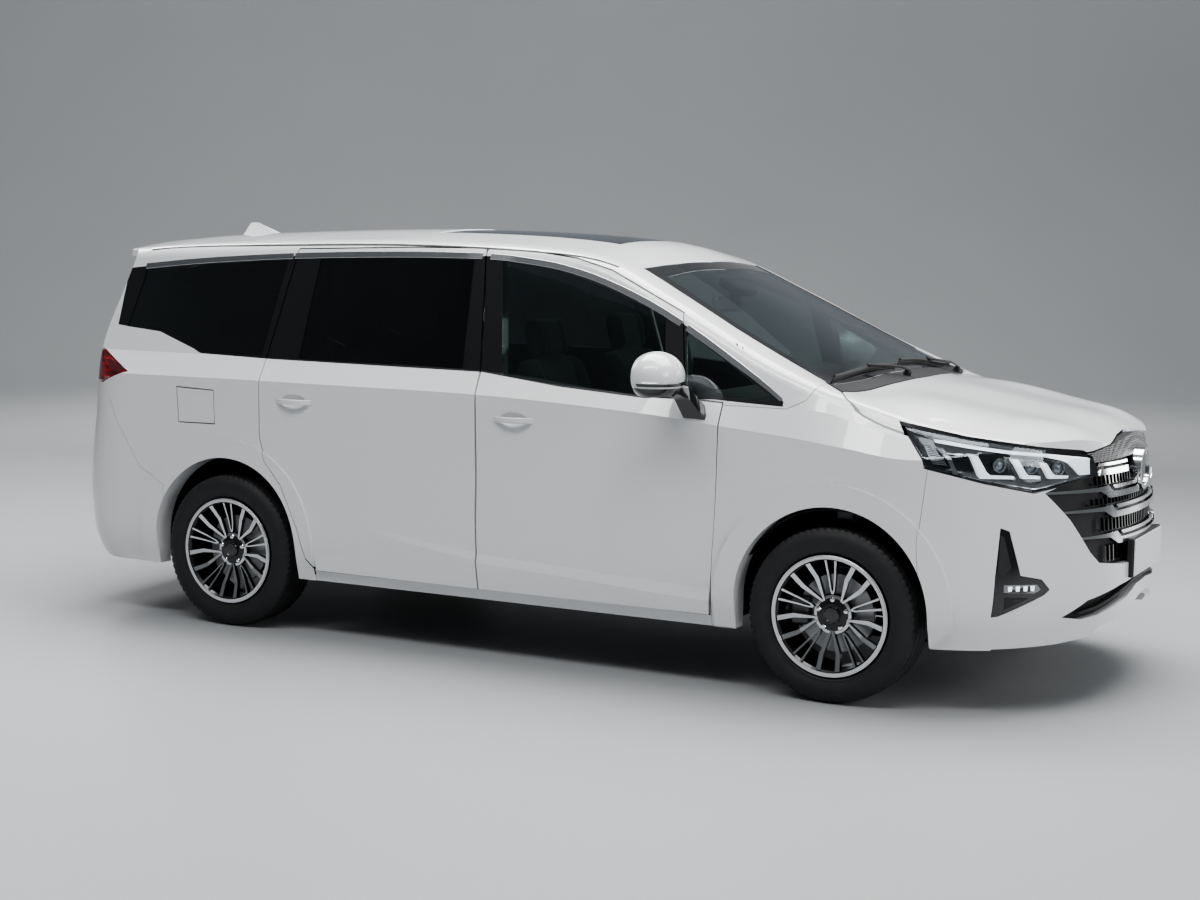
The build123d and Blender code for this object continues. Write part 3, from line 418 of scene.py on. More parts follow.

# Faces that look into the cabin carry trim instead of paint; faces inside the door gaps carry black rubber,
# partly seals and partly painted shade in the shut lines
cabin_centre = Vector((-0.45, 0.0, 1.05))
cabin_rear, cabin_front = body_rear + 0.07, 1.2
cabin_side, lining_side = 0.822, 0.83
lining_low, trim_high = 1.5, 1.62
door_low, door_high = Vector((-0.95, 0.78, 0.27)), Vector((1.02, 2.0, 1.70))


def faces_cabin(centre, normal):
    """True for a face inside the cabin that is turned to its middle"""
    inward = cabin_centre - centre
    inside = abs(centre.y) < cabin_side and cabin_rear < centre.x < cabin_front
    lead = abs(normal.y) * inward.y * normal.y + normal.z * inward.z * 0.5 + normal.x * inward.x * 0.05
    return inside and lead > 0.0 and 0.3 < centre.z < trim_high and abs(normal.y) > 0.6


def faces_door_gap_seal_and_shade(centre, normal):
    """True for the edges of the door openings in the shell"""
    spot = (centre.x, abs(centre.y), centre.z)
    inside = all(low < value < high for low, value, high in zip(door_low, spot, door_high))
    return inside and abs(normal.y) < 0.5


for name in door_names:
    way = dict(SIDES)[name.split("_")[-1]]
    refinish(name, 1, lambda centre, normal: normal.y * way < -0.5 and abs(centre.y) < lining_side)
refinish("tailgate", 1, lambda centre, normal: normal.x > 0.6)
# Door gap faces of the shell and rear edges of the front wings: black as painted shade in the shut lines, and
# as seals
refinish("body_shell", 3, faces_door_gap_seal_and_shade)
refinish("front_wings", 3, lambda centre, normal: centre.x < door_high.x and normal.x < -0.6)
refinish("body_shell", 2, lambda centre, normal: normal.z < -0.5 and centre.z > lining_low)
refinish("body_shell", 1, faces_cabin)

plain_finishes = {
    grained_black: ["cowl"],
    under_black: ["floor_pan", "front_subframe", "rear_axle"],
    casting: ["engine_block", "front_knuckle_left", "front_knuckle_right"],
    steel: ["exhaust"],
    dash_black: ["dashboard", "steering_wheel"],
    clear_glass: ["front_fixed_glass", "front_door_glass_left", "front_door_glass_right"],
    dark_glass: ["rear_fixed_glass", "tailgate_glass", "rear_door_glass_left", "rear_door_glass_right"],
    seat_cloth: ["front_seats", "rear_seats"],
    red_part: ["tail_lamps"],
    gloss_black: ["fog_lamps"],
    lamp_dark: ["headlamps"],
}
for material, names in plain_finishes.items():
    for name in names:
        finish_node(name, material)

# Grille: mesh on its upper face, and a dark centre in the emblem ring
mesh_foot = 0.90
emblem_height, emblem_centre_radius, emblem_rear = 0.866, 0.064, 2.35
finish_node("grille", grained_black, grille_mesh)
refinish("grille", 1, lambda centre, normal: centre.z > mesh_foot and normal.x > 0.3)
finish_node("grille_bars", chrome, gloss_black)
refinish("grille_bars", 1, lambda centre, normal: centre.x > emblem_rear
         and math.hypot(centre.y, centre.z - emblem_height) < emblem_centre_radius)

# Mirrors: dark foot and back. Rims: machined faces, and a steel drum behind the spokes
mirror_waist = 1.166
drum_face, drum_radius, hub_radius = wheel_y + 0.036, 0.152, 0.062
for side, way in SIDES:
    finish_node(f"door_mirror_{side}", paint, gloss_black)
    refinish(f"door_mirror_{side}", 1, lambda centre, normal: centre.z < mirror_waist or normal.x < -0.9)
    for place in PLACES:
        rim = f"{place}_rim_{side}"

        def out_of_hub(centre):
            """Distance from the middle of the wheel in side view"""
            return math.hypot(centre.x - axle_x[place], centre.z - hub_height)

        finish_node(rim, dark_pocket, machined, steel)
        refinish(rim, 1, lambda centre, normal: normal.y * way > 0.8 and out_of_hub(centre) > hub_radius
                 and centre.y * way > hub_face - 0.02)
        refinish(rim, 2, lambda centre, normal: centre.y * way < drum_face
                 and out_of_hub(centre) < drum_radius)


# Shapes
def make_piece(name, points, faces, body, material):
    """A mesh piece from plain lists, riding a body"""
    mesh = bpy.data.meshes.new(name)
    mesh.from_pydata([tuple(p) for p in points], [], faces)
    mesh.validate()
    mesh.materials.append(material)
    mesh.shade_smooth()
    piece = bpy.data.objects.new(name, mesh)
    bpy.context.scene.collection.objects.link(piece)
    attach(piece, body)
    return piece


def edge_smooth(piece, angle=35):
    """Keeps the corners of a smooth piece crisp"""
    piece.data.set_sharp_from_angle(angle=math.radians(angle))
    return piece


def outward(piece):
    """Turns the faces of a closed piece outward"""
    shape = bmesh.new()
    shape.from_mesh(piece.data)
    bmesh.ops.recalc_face_normals(shape, faces=shape.faces)
    shape.to_mesh(piece.data)
    shape.free()
    return piece


def crisp(name, shape, body, material, angle=30):
    """A piece with crisp corners, from the points and faces of a shape"""
    return edge_smooth(make_piece(name, *shape, body, material), angle)


def solid(name, shape, body, material, angle=30):
    """A crisp piece with all its faces turned outward"""
    return outward(crisp(name, shape, body, material, angle))


def grid_faces(rows, columns, closed_rows=False, closed_columns=False):
    """Four-sided faces over a grid of points, numbered row by row"""
    faces = []
    for i in range(rows if closed_rows else rows - 1):
        for j in range(columns if closed_columns else columns - 1):
            a, b = i * columns + j, i * columns + (j + 1) % columns
            c, d = (i + 1) % rows * columns + (j + 1) % columns, (i + 1) % rows * columns + j
            faces.append((a, b, c, d))
    return faces


def lathe(profile, steps, centre, way):
    """Points and faces turned about Y; profile is (along the axle, radius), closed"""
    points, count = [], len(profile)
    for i in range(steps):
        angle = 2 * math.pi * i / steps
        for along, radius in profile:
            points.append(centre + Vector((radius * math.cos(angle), way * along, radius * math.sin(angle))))
    faces = grid_faces(steps, count, True, True)
    return points, faces if way > 0 else [face[::-1] for face in faces]


def tube_section(width, height, bevel=0.3):
    """Flat-backed moulding section as (across, up) points"""
    half, cut = width / 2, min(width, height) * bevel
    left = [(-half, 0), (-half, height - cut), (-half + cut, height)]
    return left + [(-across, up) for across, up in left[::-1]]


def sweep(path, normals, section, sizes=None):
    """Points and faces of a section carried along a path that lies on a surface"""
    points, count = [], len(section)
    for i, (place, normal) in enumerate(zip(path, normals)):
        ahead = path[min(i + 1, len(path) - 1)] - path[max(i - 1, 0)]
        across = ahead.normalized().cross(normal).normalized()
        up = across.cross(ahead).normalized()
        size = sizes[i] if sizes else 1.0
        for a, b in section:
            points.append(place + across * a * size + up * b)
    faces = grid_faces(len(path), count, False, True)
    faces.append(tuple(range(count))[::-1])
    faces.append(tuple(range((len(path) - 1) * count, len(path) * count)))
    return points, faces


x_axis, y_axis, z_axis = Vector((1, 0, 0)), Vector((0, 1, 0)), Vector((0, 0, 1))
rearward = Vector((-1, 0, 0))


def pitched(degrees):
    """Turn about the sideways axis"""
    return Matrix.Rotation(math.radians(degrees), 3, "Y")


def merged(parts):
    """Several shapes as one"""
    points, faces = [], []
    for more_points, more_faces in parts:
        start = len(points)
        points += list(more_points)
        faces += [tuple(i + start for i in face) for face in more_faces]
    return points, faces


def rounded_box(size, centre, bevel, turn=None):
    """Box with bevelled edges: 24 corner points, 26 faces"""
    half = [s / 2 for s in size]
    points, index = [], {}
    signs = (-1, 1)
    for sx in signs:
        for sy in signs:
            for sz in signs:
                for axis in range(3):
                    corner = [sx * (half[0] - bevel), sy * (half[1] - bevel), sz * (half[2] - bevel)]
                    corner[axis] += (sx, sy, sz)[axis] * bevel
                    index[(sx, sy, sz, axis)] = len(points)
                    points.append(Vector(corner))
    faces = []
    for axis in range(3):
        others = [k for k in range(3) if k != axis]
        for s in signs:
            ring = []
            for a, b in ((-1, -1), (1, -1), (1, 1), (-1, 1)):
                key = [0, 0, 0]
                key[axis], key[others[0]], key[others[1]] = s, a, b
                ring.append(index[(*key, axis)])
            faces.append(ring)
        for a in signs:
            for b in signs:
                ends = []
                for s in signs:
                    key = [0, 0, 0]
                    key[axis], key[others[0]], key[others[1]] = s, a, b
                    ends.append((index[(*key, others[0])], index[(*key, others[1])]))
                faces.append([ends[0][0], ends[0][1], ends[1][1], ends[1][0]])
    for sx in signs:
        for sy in signs:
            for sz in signs:
                faces.append([index[(sx, sy, sz, axis)] for axis in range(3)])
    turn = turn or Matrix.Identity(3)
    points = [turn @ p + Vector(centre) for p in points]
    middle = Vector(centre)
    fixed = []
    for face in faces:
        a, b, c = (points[i] for i in face[:3])
        faces_out = (b - a).cross(c - a).dot((a + c) / 2 - middle) > 0
        fixed.append(tuple(face) if faces_out else tuple(face[::-1]))
    return points, fixed


# Distances at which rays start, clear of the vehicle
side_start, top_start, end_start, corner_start = 3, 4, 4, 3.3


class Skin:
    """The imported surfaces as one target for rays, so that trim follows them"""

    def __init__(self, *names):
        points, faces = [], []
        for name in names:
            start = len(points)
            points += [v.co.copy() for v in nodes[name].data.vertices]
            faces += [tuple(i + start for i in face.vertices) for face in nodes[name].data.polygons]
        self.tree = BVHTree.FromPolygons(points, faces)

    def hit(self, origin, direction, lift=0.0):
        """Place and normal where a ray meets the surface, or a pair of None"""
        place, normal, _, _ = self.tree.ray_cast(Vector(origin), Vector(direction).normalized())
        if place is None:
            return None, None
        return place + normal * lift, normal

    def aside(self, x, z, way):
        """The surface as seen from one side"""
        return self.hit((x, way * side_start, z), (0, -way, 0))

    def above(self, x, y, lift=0.0):
        """The surface as seen from above"""
        return self.hit((x, y, top_start), (0, 0, -1), lift)


def spread(line, step):
    """Even points along a polyline of (x, z) pairs"""
    found = [line[0]]
    for (x0, z0), (x1, z1) in zip(line, line[1:]):
        pieces = max(1, round(math.hypot(x1 - x0, z1 - z0) / step))
        found += [(x0 + (x1 - x0) * k / pieces, z0 + (z1 - z0) * k / pieces) for k in range(1, pieces + 1)]
    return found


def smoothed(line, rounds=2):
    """Corner cutting that turns a plain polyline into a flowing one"""
    for _ in range(rounds):
        cut = [line[0]]
        for a, b in zip(line, line[1:]):
            cut.append(tuple(0.75 * p + 0.25 * q for p, q in zip(a, b)))
            cut.append(tuple(0.25 * p + 0.75 * q for p, q in zip(a, b)))
        cut.append(line[-1])
        line = cut
    return line


def line_between(line, low, high):
    """The stretch of an (x, z) line from one x to another, ends worked out"""

    def height(x):
        for (x0, z0), (x1, z1) in zip(line, line[1:]):
            if x0 <= x <= x1:
                return z0 + (z1 - z0) * (x - x0) / (x1 - x0)
        return line[-1][1]

    return [(low, height(low))] + [p for p in line if low < p[0] < high] + [(high, height(high))]


def on_side(skin, line, way, step=0.02):
    """Path and normals where a side-view line falls on the skin"""
    path, normals = [], []
    for x, z in spread(line, step):
        place, normal = skin.aside(x, z, way)
        if place is not None:
            path.append(place)
            normals.append(normal)
    return path, normals


# Tyres
def tyre_shape(centre, way):
    """Road tyre: rounded walls with a rim guard, and a tread of ribs and cross cuts"""
    pitches, steps_per_pitch = 72, 4
    tread_half, groove_depth, cut_depth = tyre_half * 0.80, 0.0075, 0.006
    groove_half = 0.0042
    bead = rim_radius + 0.003
    wall = [
        (0.084, bead), (0.094, bead + 0.003), (0.0985, bead + 0.010), (0.0975, bead + 0.015),
        (tyre_half - 0.006, 0.256), (tyre_half, 0.275), (tyre_half - 0.0008, 0.289),
        (tyre_half - 0.006, 0.304), (tyre_half - 0.013, 0.316), (tyre_half - 0.020, tyre_radius - 0.009),
    ]
    tread = []
    groove_places = (0.062, 0.021, -0.021, -0.062)
    for middle in groove_places:
        rise = tyre_radius - 0.0055 * (abs(middle) / tread_half) ** 2
        tread += [(middle + groove_half, rise), (middle + groove_half * 0.7, rise - groove_depth)]
        tread += [(middle - groove_half * 0.7, rise - groove_depth), (middle - groove_half, rise)]
    shoulder = tyre_radius - 0.006
    outer_wall = wall + [(tread_half, shoulder)]
    inner_wall = [(-a, r) for a, r in outer_wall[::-1]]
    inside = [(-0.070, bead), (-0.060, 0.262), (0.060, 0.262), (0.070, bead)]
    profile = outer_wall + tread + inner_wall + inside
    points, count = [], len(profile)
    first_shoulder, last_shoulder = len(wall) - 1, len(outer_wall) + len(tread) + 1
    cut_rings = (first_shoulder, first_shoulder + 1, last_shoulder - 1, last_shoulder)
    total = pitches * steps_per_pitch
    for i in range(total):
        cut = i % steps_per_pitch == 0
        for k, (along, radius) in enumerate(profile):
            lean = 0.010 * along / tyre_half if first_shoulder <= k <= last_shoulder else 0.0
            angle = 2 * math.pi * i / total + lean
            r = radius - (cut_depth if cut and k in cut_rings else 0.0)
            points.append(centre + Vector((r * math.cos(angle), way * along, r * math.sin(angle))))
    faces = grid_faces(total, count, True, True)
    return points, [face[::-1] for face in faces] if way > 0 else faces


def hexagon_nut(centre, way, radius=0.0105, length=0.017):
    """Wheel nut: a tapered seat, six flats and a domed end, along Y"""
    corners, flat_share = 12, 0.90
    rings = [
        (0.0, radius * 1.15), (0.004, radius * 1.15), (0.005, radius),
        (length - 0.003, radius), (length, radius * 0.72), (length + 0.0008, radius * 0.3),
    ]
    points = []
    for along, r in rings:
        for i in range(corners):
            angle = 2 * math.pi * i / corners
            flat = r * (flat_share if i % 2 and 0.0045 < along < length - 0.001 else 1.0)
            points.append(centre + Vector((flat * math.cos(angle), way * along, flat * math.sin(angle))))
    faces = grid_faces(len(rings), corners, False, True)
    faces.append(tuple(range(len(points) - corners, len(points))))
    return points, faces if way < 0 else [face[::-1] for face in faces]


# Wheel nuts on their circle, centre caps and polished rim lips; profiles are (along the axle, radius)
stud_circle, stud_count = 0.05715, 5
cap_profile = [
    (0.0, 0.0335), (0.012, 0.0335), (0.0155, 0.031), (0.0165, 0.027),
    (0.0150, 0.0255), (0.0150, 0.018), (0.0162, 0.0), (0.0, 0.0),
]
lip_profile = [
    (0.0, rim_radius - 0.016), (0.0025, rim_radius - 0.0155),
    (0.003, rim_radius - 0.004), (0.0, rim_radius - 0.003),
]
for place in PLACES:
    for side, way in SIDES:
        body = f"{place}_wheel_{side}"

        def beside_axle(out, ahead=0.0, up=0.0):
            """A place out from the vehicle's middle plane, off the axle"""
            return Vector((axle_x[place] + ahead, way * out, hub_height + up))

        tyre = crisp(f"tyre_{place}_{side}", tyre_shape(beside_axle(wheel_y), way), body, rubber_and_gap_shade, 38)
        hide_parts(f"{place}_tyre_{side}")
        nuts = []
        for lug in range(stud_count):
            angle = math.radians(90 + 360 / stud_count * lug)
            ahead, up = stud_circle * math.cos(angle), stud_circle * math.sin(angle)
            nuts.append(hexagon_nut(beside_axle(hub_face - 0.012, ahead, up), way))
        crisp(f"wheel_nuts_{place}_{side}", merged(nuts), body, chrome)
        cap = lathe(cap_profile, 48, beside_axle(hub_face - 0.006), way)
        crisp(f"centre_cap_{place}_{side}", cap, body, gloss_black)
        lip = lathe(lip_profile, 120, beside_axle(rim_face - 0.0003), way)
        crisp(f"rim_lip_{place}_{side}", lip, body, machined)


# Bright strip over the side windows, in stretches that ride with the body and the doors
outer_skin = Skin("body_shell", "front_wings", *door_names, "tailgate", "front_bumper", "bonnet")
rear_door_low, rear_door_high = -1.150, -0.194
front_door_low, front_door_high = -0.186, 0.752
gap = 0.004
chrome_rear, chrome_front = -1.965, 1.208
chrome_section = tube_section(0.026, 0.004)
side_stretches = [
    ("body", "rear", chrome_rear, rear_door_low - gap),
    ("rear_door_{}_panel", "middle", rear_door_low + gap, rear_door_high - gap),
    ("front_door_{}_panel", "front", front_door_low + gap, front_door_high - gap),
    ("body", "pillar", front_door_high + gap, chrome_front),
]
for side, way in SIDES:
    for body, part, low, high in side_stretches:
        body = body.format(side)
        line = line_between(smoothed(chrome_line), low, high)
        path, normals = on_side(outer_skin, line, way)
        sizes = [1.0] * len(path)
        if part == "pillar":
            sizes = [1.0 - 0.45 * (i / len(path)) ** 2 for i in range(len(path))]
        strip = sweep(path, normals, chrome_section, sizes)
        crisp(f"window_bright_{part}_{side}", strip, body, satin_chrome, 35)


# Roof ditch mouldings along both rails
roof_skin = Skin("body_shell", "tailgate")
ditch_rear, ditch_front, ditch_width, ditch_steps = -1.97, 0.42, 0.672, 90
widening_start, widening = -0.6, 0.004
for side, way in SIDES:
    path, normals = [], []
    for i in range(ditch_steps + 1):
        x = ditch_rear + (ditch_front - ditch_rear) * i / ditch_steps
        width = ditch_width + max(0.0, x - widening_start) * widening
        place, normal = roof_skin.above(x, way * width, 0.0002)
        if place is not None:
            path.append(place)
            normals.append(normal)
    ditch = sweep(path, normals, tube_section(0.010, 0.0022))
    crisp(f"roof_ditch_{side}", ditch, "body", grained_black, 35)


# Outlines drawn flat and laid on a packed surface
diagonal = math.sqrt(0.5)


def corner_place(skin, facing, way):
    """Projector along the diagonal through a corner of the body: across and height to a place"""
    ray = Vector((-facing * diagonal, -way * diagonal, 0))

    def project(across, height, depth=0.0):
        ahead, aside = (corner_start - across) * diagonal, (corner_start + across) * diagonal
        origin = Vector((facing * ahead, way * aside, height))
        place, _ = skin.hit(origin, ray)
        return None if place is None else place + ray * depth

    return project


def end_place(skin, facing):
    """Projector along the vehicle's length: sideways place and height to a place"""
    ray = Vector((-facing, 0, 0))

    def project(across, height, depth=0.0):
        place, _ = skin.hit((facing * end_start, across, height), ray)
        return None if place is None else place + ray * depth

    return project


def closed(points, step):
    """Outline with its long edges divided"""
    line = spread(list(points) + [points[0]], step)
    return line[:-1]


def slab(project, outline, near, far, step=0.02):
    """Solid between two depths under an outline laid on a surface"""
    line = [p for p in closed(outline, step) if project(*p) is not None]
    count = len(line)
    points = [project(*p, near) for p in line] + [project(*p, far) for p in line]
    flat = tessellate_polygon([[Vector((a, b, 0)) for a, b in line]])
    faces = [tuple(face) for face in flat] + [tuple(i + count for i in face[::-1]) for face in flat]
    faces += [(i, (i + 1) % count, (i + 1) % count + count, i + count) for i in range(count)]
    return points, faces


def value_on(line, x):
    """Height of an (x, z) line that runs from high x to low x"""
    for (x0, z0), (x1, z1) in zip(line, line[1:]):
        if x1 <= x <= x0:
            return z0 + (z1 - z0) * (x - x0) / (x1 - x0)
    return line[-1][1] if x < line[-1][0] else line[0][1]


def grid_shell(place_of, columns, rows):
    """Closed shell from two layers of a grid; place_of takes the shares along and up, and the layer 0 or 1"""
    points = []
    for layer in (0, 1):
        for i in range(columns + 1):
            for j in range(rows + 1):
                place = place_of(i / columns, j / rows, layer)
                points.append(place if place is not None else points[-1])
    count, width = (columns + 1) * (rows + 1), rows + 1
    faces = grid_faces(columns + 1, rows + 1)
    faces += [tuple(index + count for index in face[::-1]) for face in faces]
    border = list(range(width)) + [i * width + rows for i in range(1, columns + 1)]
    border += [columns * width + j for j in range(rows - 1, -1, -1)]
    border += [i * width for i in range(columns - 1, 0, -1)]
    faces += [(a, b, b + count, a + count) for a, b in zip(border, border[1:] + border[:1])]
    return points, faces


def shell_between(project, low_line, high_line, columns, rows, depth, thickness, margin=0.0):
    """Closed shell on a surface between two lines; depth works from the shares along and up"""
    first, last = low_line[0][0] - margin, low_line[-1][0] + margin

    def place_of(along, up, layer):
        x = first + (last - first) * along
        low, high = value_on(low_line, x) + margin, value_on(high_line, x) - margin
        z = low + (max(high, low + 0.001) - low) * up
        return project(x, z, depth(along, up) + thickness * layer)

    return grid_shell(place_of, columns, rows)


def patch(project, corners, near, far, step=0.03):
    """Closed four-sided panel laid on a surface, between two depths"""
    (ax, az), (bx, bz), (cx, cz), (dx, dz) = corners
    columns = max(1, round(math.hypot(bx - ax, bz - az) / step))
    rows = max(1, round(math.hypot(dx - ax, dz - az) / step))

    def place_of(along, up, layer):
        weights = ((1 - along) * (1 - up), along * (1 - up), along * up, (1 - along) * up)
        x = sum(weight * corner[0] for weight, corner in zip(weights, corners))
        z = sum(weight * corner[1] for weight, corner in zip(weights, corners))
        return project(x, z, far if layer else near)

    return grid_shell(place_of, columns, rows)


def turned(profile, steps, centre, axis):
    """Points and faces turned about an axis; profile is (along the axis, radius), closed"""
    axis = axis.normalized()
    first = axis.orthogonal().normalized()
    second = axis.cross(first)
    points = []
    for i in range(steps):
        angle = 2 * math.pi * i / steps
        spoke = first * math.cos(angle) + second * math.sin(angle)
        points += [centre + axis * along + spoke * radius for along, radius in profile]
    return points, grid_faces(steps, len(profile), True, True)


# Headlamp lines and outlines: distance across the corner and height
lamp_low = [
    (-0.614, 1.012), (-0.632, 0.911), (-0.826, 0.862), (-1.019, 0.825), (-1.233, 0.864), (-1.326, 0.872),
]
lamp_high = [
    (-0.614, 1.052), (-0.793, 1.016), (-1.057, 0.980), (-1.250, 0.960), (-1.309, 0.938), (-1.326, 0.878),
]
brow_high = [
    (-0.692, 1.012), (-0.793, 0.996), (-0.928, 0.978), (-1.055, 0.966),
    (-1.180, 0.955), (-1.291, 0.938), (-1.313, 0.880),
]
brow_low = [
    (-0.693, 1.000), (-0.793, 0.984), (-0.928, 0.966), (-1.055, 0.954),
    (-1.129, 0.944), (-1.178, 0.926), (-1.205, 0.905), (-1.232, 0.880),
]
side_segment = [(-0.630, 0.996), (-0.672, 0.992), (-0.709, 0.920), (-0.662, 0.925)]
rib_count, rib_share = 11, 0.55
lamp_blades = [
    [(-0.787, 0.963), (-0.812, 0.960), (-0.842, 0.903), (-0.856, 0.890),
     (-0.945, 0.886), (-0.945, 0.876), (-0.820, 0.878)],
    [(-0.939, 0.948), (-0.964, 0.945), (-0.993, 0.898), (-1.003, 0.888),
     (-1.051, 0.884), (-1.051, 0.874), (-0.979, 0.876)],
    [(-1.056, 0.933), (-1.081, 0.930), (-1.105, 0.894), (-1.118, 0.884),
     (-1.180, 0.880), (-1.176, 0.871), (-1.090, 0.873)],
]
# Bright lines: outline, depth of the front and depth of the back
lamp_lines = [
    ([(-0.690, 0.984), (-0.706, 0.982), (-0.742, 0.890), (-0.726, 0.893)], 0.006, 0.022),
    ([(-0.712, 0.968), (-0.780, 0.964), (-0.780, 0.960), (-0.712, 0.964)], 0.010, 0.020),
    ([(-0.860, 0.868), (-1.020, 0.842), (-1.200, 0.868), (-1.200, 0.865), (-1.020, 0.838), (-0.860, 0.864)],
     0.006, 0.014),
]
# Light modules: their places, and the profiles (along, radius) of their cups and lenses
lamp_modules = [(-0.892, 0.925), (-1.018, 0.918), (-1.136, 0.908)]
cup_profile = [(0.0, 0.0235), (0.014, 0.0255), (0.014, 0.0235), (0.003, 0.0195), (0.003, 0.0), (0.0, 0.0)]
module_profile = [
    (0.003, 0.0185), (0.009, 0.0165), (0.0125, 0.0105), (0.0138, 0.0045), (0.0140, 0.0), (0.003, 0.0),
]


lamp_columns, tail_columns, housing_rows, lens_rows, module_steps = 48, 44, 14, 10, 40


def edge_share(along, up, reach):
    """Rises from 0 at the border of a lamp to 1 a reach inside it"""
    return min(1.0, min(along, 1 - along, up, 1 - up) / reach)


def bowl(along, up):
    """Depth of the headlamp housing behind the lens"""
    return 0.002 + 0.036 * edge_share(along, up, 0.16) ** 1.5


def lens_depth(along, up):
    """Depth of a lens, even all over"""
    return 0.0005


def rib_outline(k):
    """One of the thin ribs that cross the upright lamp segment"""
    (ax, az), (bx, bz), (cx, cz), (dx, dz) = side_segment
    shares = (k / rib_count, (k + rib_share) / rib_count)
    left = [(ax + (dx - ax) * v, az + (dz - az) * v) for v in shares]
    right = [(bx + (cx - bx) * v, bz + (cz - bz) * v) for v in shares]
    return [left[0], right[0], right[1], left[1]]


for side, way in SIDES:
    place_at = corner_place(Skin("headlamps"), 1, way)
    outer = Vector((diagonal, way * diagonal, 0))
    housing = shell_between(place_at, lamp_low, lamp_high, lamp_columns, housing_rows, bowl, 0.004)
    solid(f"lamp_housing_{side}", housing, "body", lamp_dark, 50)
    cover = shell_between(place_at, lamp_low, lamp_high, lamp_columns, lens_rows, lens_depth, 0.0025, 0.004)
    lens = solid(f"lamp_lens_{side}", cover, "body", lens_glass, 50)
    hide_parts("headlamps")
    brow = slab(place_at, brow_high + brow_low[::-1], 0.008, 0.022)
    solid(f"lamp_brow_{side}", brow, "body", lamp_bright)
    blades = merged([slab(place_at, outline, 0.014, 0.034) for outline in lamp_blades])
    solid(f"lamp_blades_{side}", blades, "body", lamp_bright)
    ribs = merged([slab(place_at, rib_outline(k), 0.009, 0.018) for k in range(rib_count)])
    solid(f"lamp_ribs_{side}", ribs, "body", lamp_grey)
    lines = merged([slab(place_at, *line) for line in lamp_lines])
    solid(f"lamp_lines_{side}", lines, "body", satin_chrome)
    centres = [place_at(across, height, 0.030) for across, height in lamp_modules]
    cups = merged([turned(cup_profile, module_steps, centre, outer) for centre in centres])
    solid(f"lamp_cups_{side}", cups, "body", satin_chrome)
    glasses = merged([turned(module_profile, module_steps, centre, outer) for centre in centres])
    solid(f"lamp_modules_{side}", glasses, "body", lamp_grey, 60)


# Fog lamp at the foot of the black corner bezel, and the bezel's inner facets
fog_lens = [(-0.900, 0.496), (-1.029, 0.494), (-1.046, 0.475), (-1.018, 0.462), (-0.900, 0.468)]
fog_spear = [(-0.888, 0.676), (-0.900, 0.670), (-0.928, 0.556), (-0.898, 0.530), (-0.876, 0.540)]
fog_foot = [(-0.905, 0.450), (-1.000, 0.446), (-0.905, 0.404)]
fog_bar_starts = (-0.915, -0.945, -0.975, -1.003)
fog_bars = [[(a, 0.490), (a - 0.016, 0.490), (a - 0.014, 0.472), (a - 0.002, 0.472)] for a in fog_bar_starts]
for side, way in SIDES:
    place_at = corner_place(Skin("fog_lamps"), 1, way)
    solid(f"fog_lens_{side}", slab(place_at, fog_lens, -0.002, 0.004), "body", lamp_grey)
    bars = merged([slab(place_at, outline, -0.0035, 0.001) for outline in fog_bars])
    solid(f"fog_bars_{side}", bars, "body", lamp_bright)
    facets = merged([slab(place_at, outline, -0.0015, 0.002) for outline in (fog_spear, fog_foot)])
    solid(f"fog_facets_{side}", facets, "body", grained_black)


# Grille: dark fins between the bright bars, and the blank plate
nose_place = end_place(Skin("grille"), 1)
fin_rows = ((0.759, 0.782, 0.44), (0.660, 0.708, 0.40), (0.833, 0.866, 0.42), (0.545, 0.606, 0.42))
fin_step, fin_half = 0.028, 0.004
emblem_half, emblem_foot = 0.10, 0.8
fins = []
for low, high, reach in fin_rows:
    count = round(reach / fin_step)
    for k in range(-count, count + 1):
        middle = k * fin_step
        if abs(middle) < emblem_half and low > emblem_foot:
            continue
        left, right = middle - fin_half, middle + fin_half
        outline = [(left, low), (right, low), (right, high), (left, high)]
        if all(nose_place(*p) is not None for p in outline):
            fins.append(slab(nose_place, outline, -0.014, 0.001, 0.1))
solid("grille_fins", merged(fins), "body", gloss_black)
plate_height = 0.545
plate_x = 2.394
plate_size = (0.005, 0.440, 0.140)
crisp("front_plate", rounded_box(plate_size, (plate_x, 0, plate_height), 0.0015), "body", plate_white)
holder = rounded_box((0.026, 0.452, 0.150), (plate_x - 0.0165, 0, plate_height), 0.004)
crisp("front_plate_holder", holder, "body", grained_black)


# Seats: crowned pads with bolsters, sewn channels and head restraints on posts
def smooth_step(value):
    """Soft rise from 0 to 1"""
    value = min(1.0, max(0.0, value))
    return value * value * (3 - 2 * value)


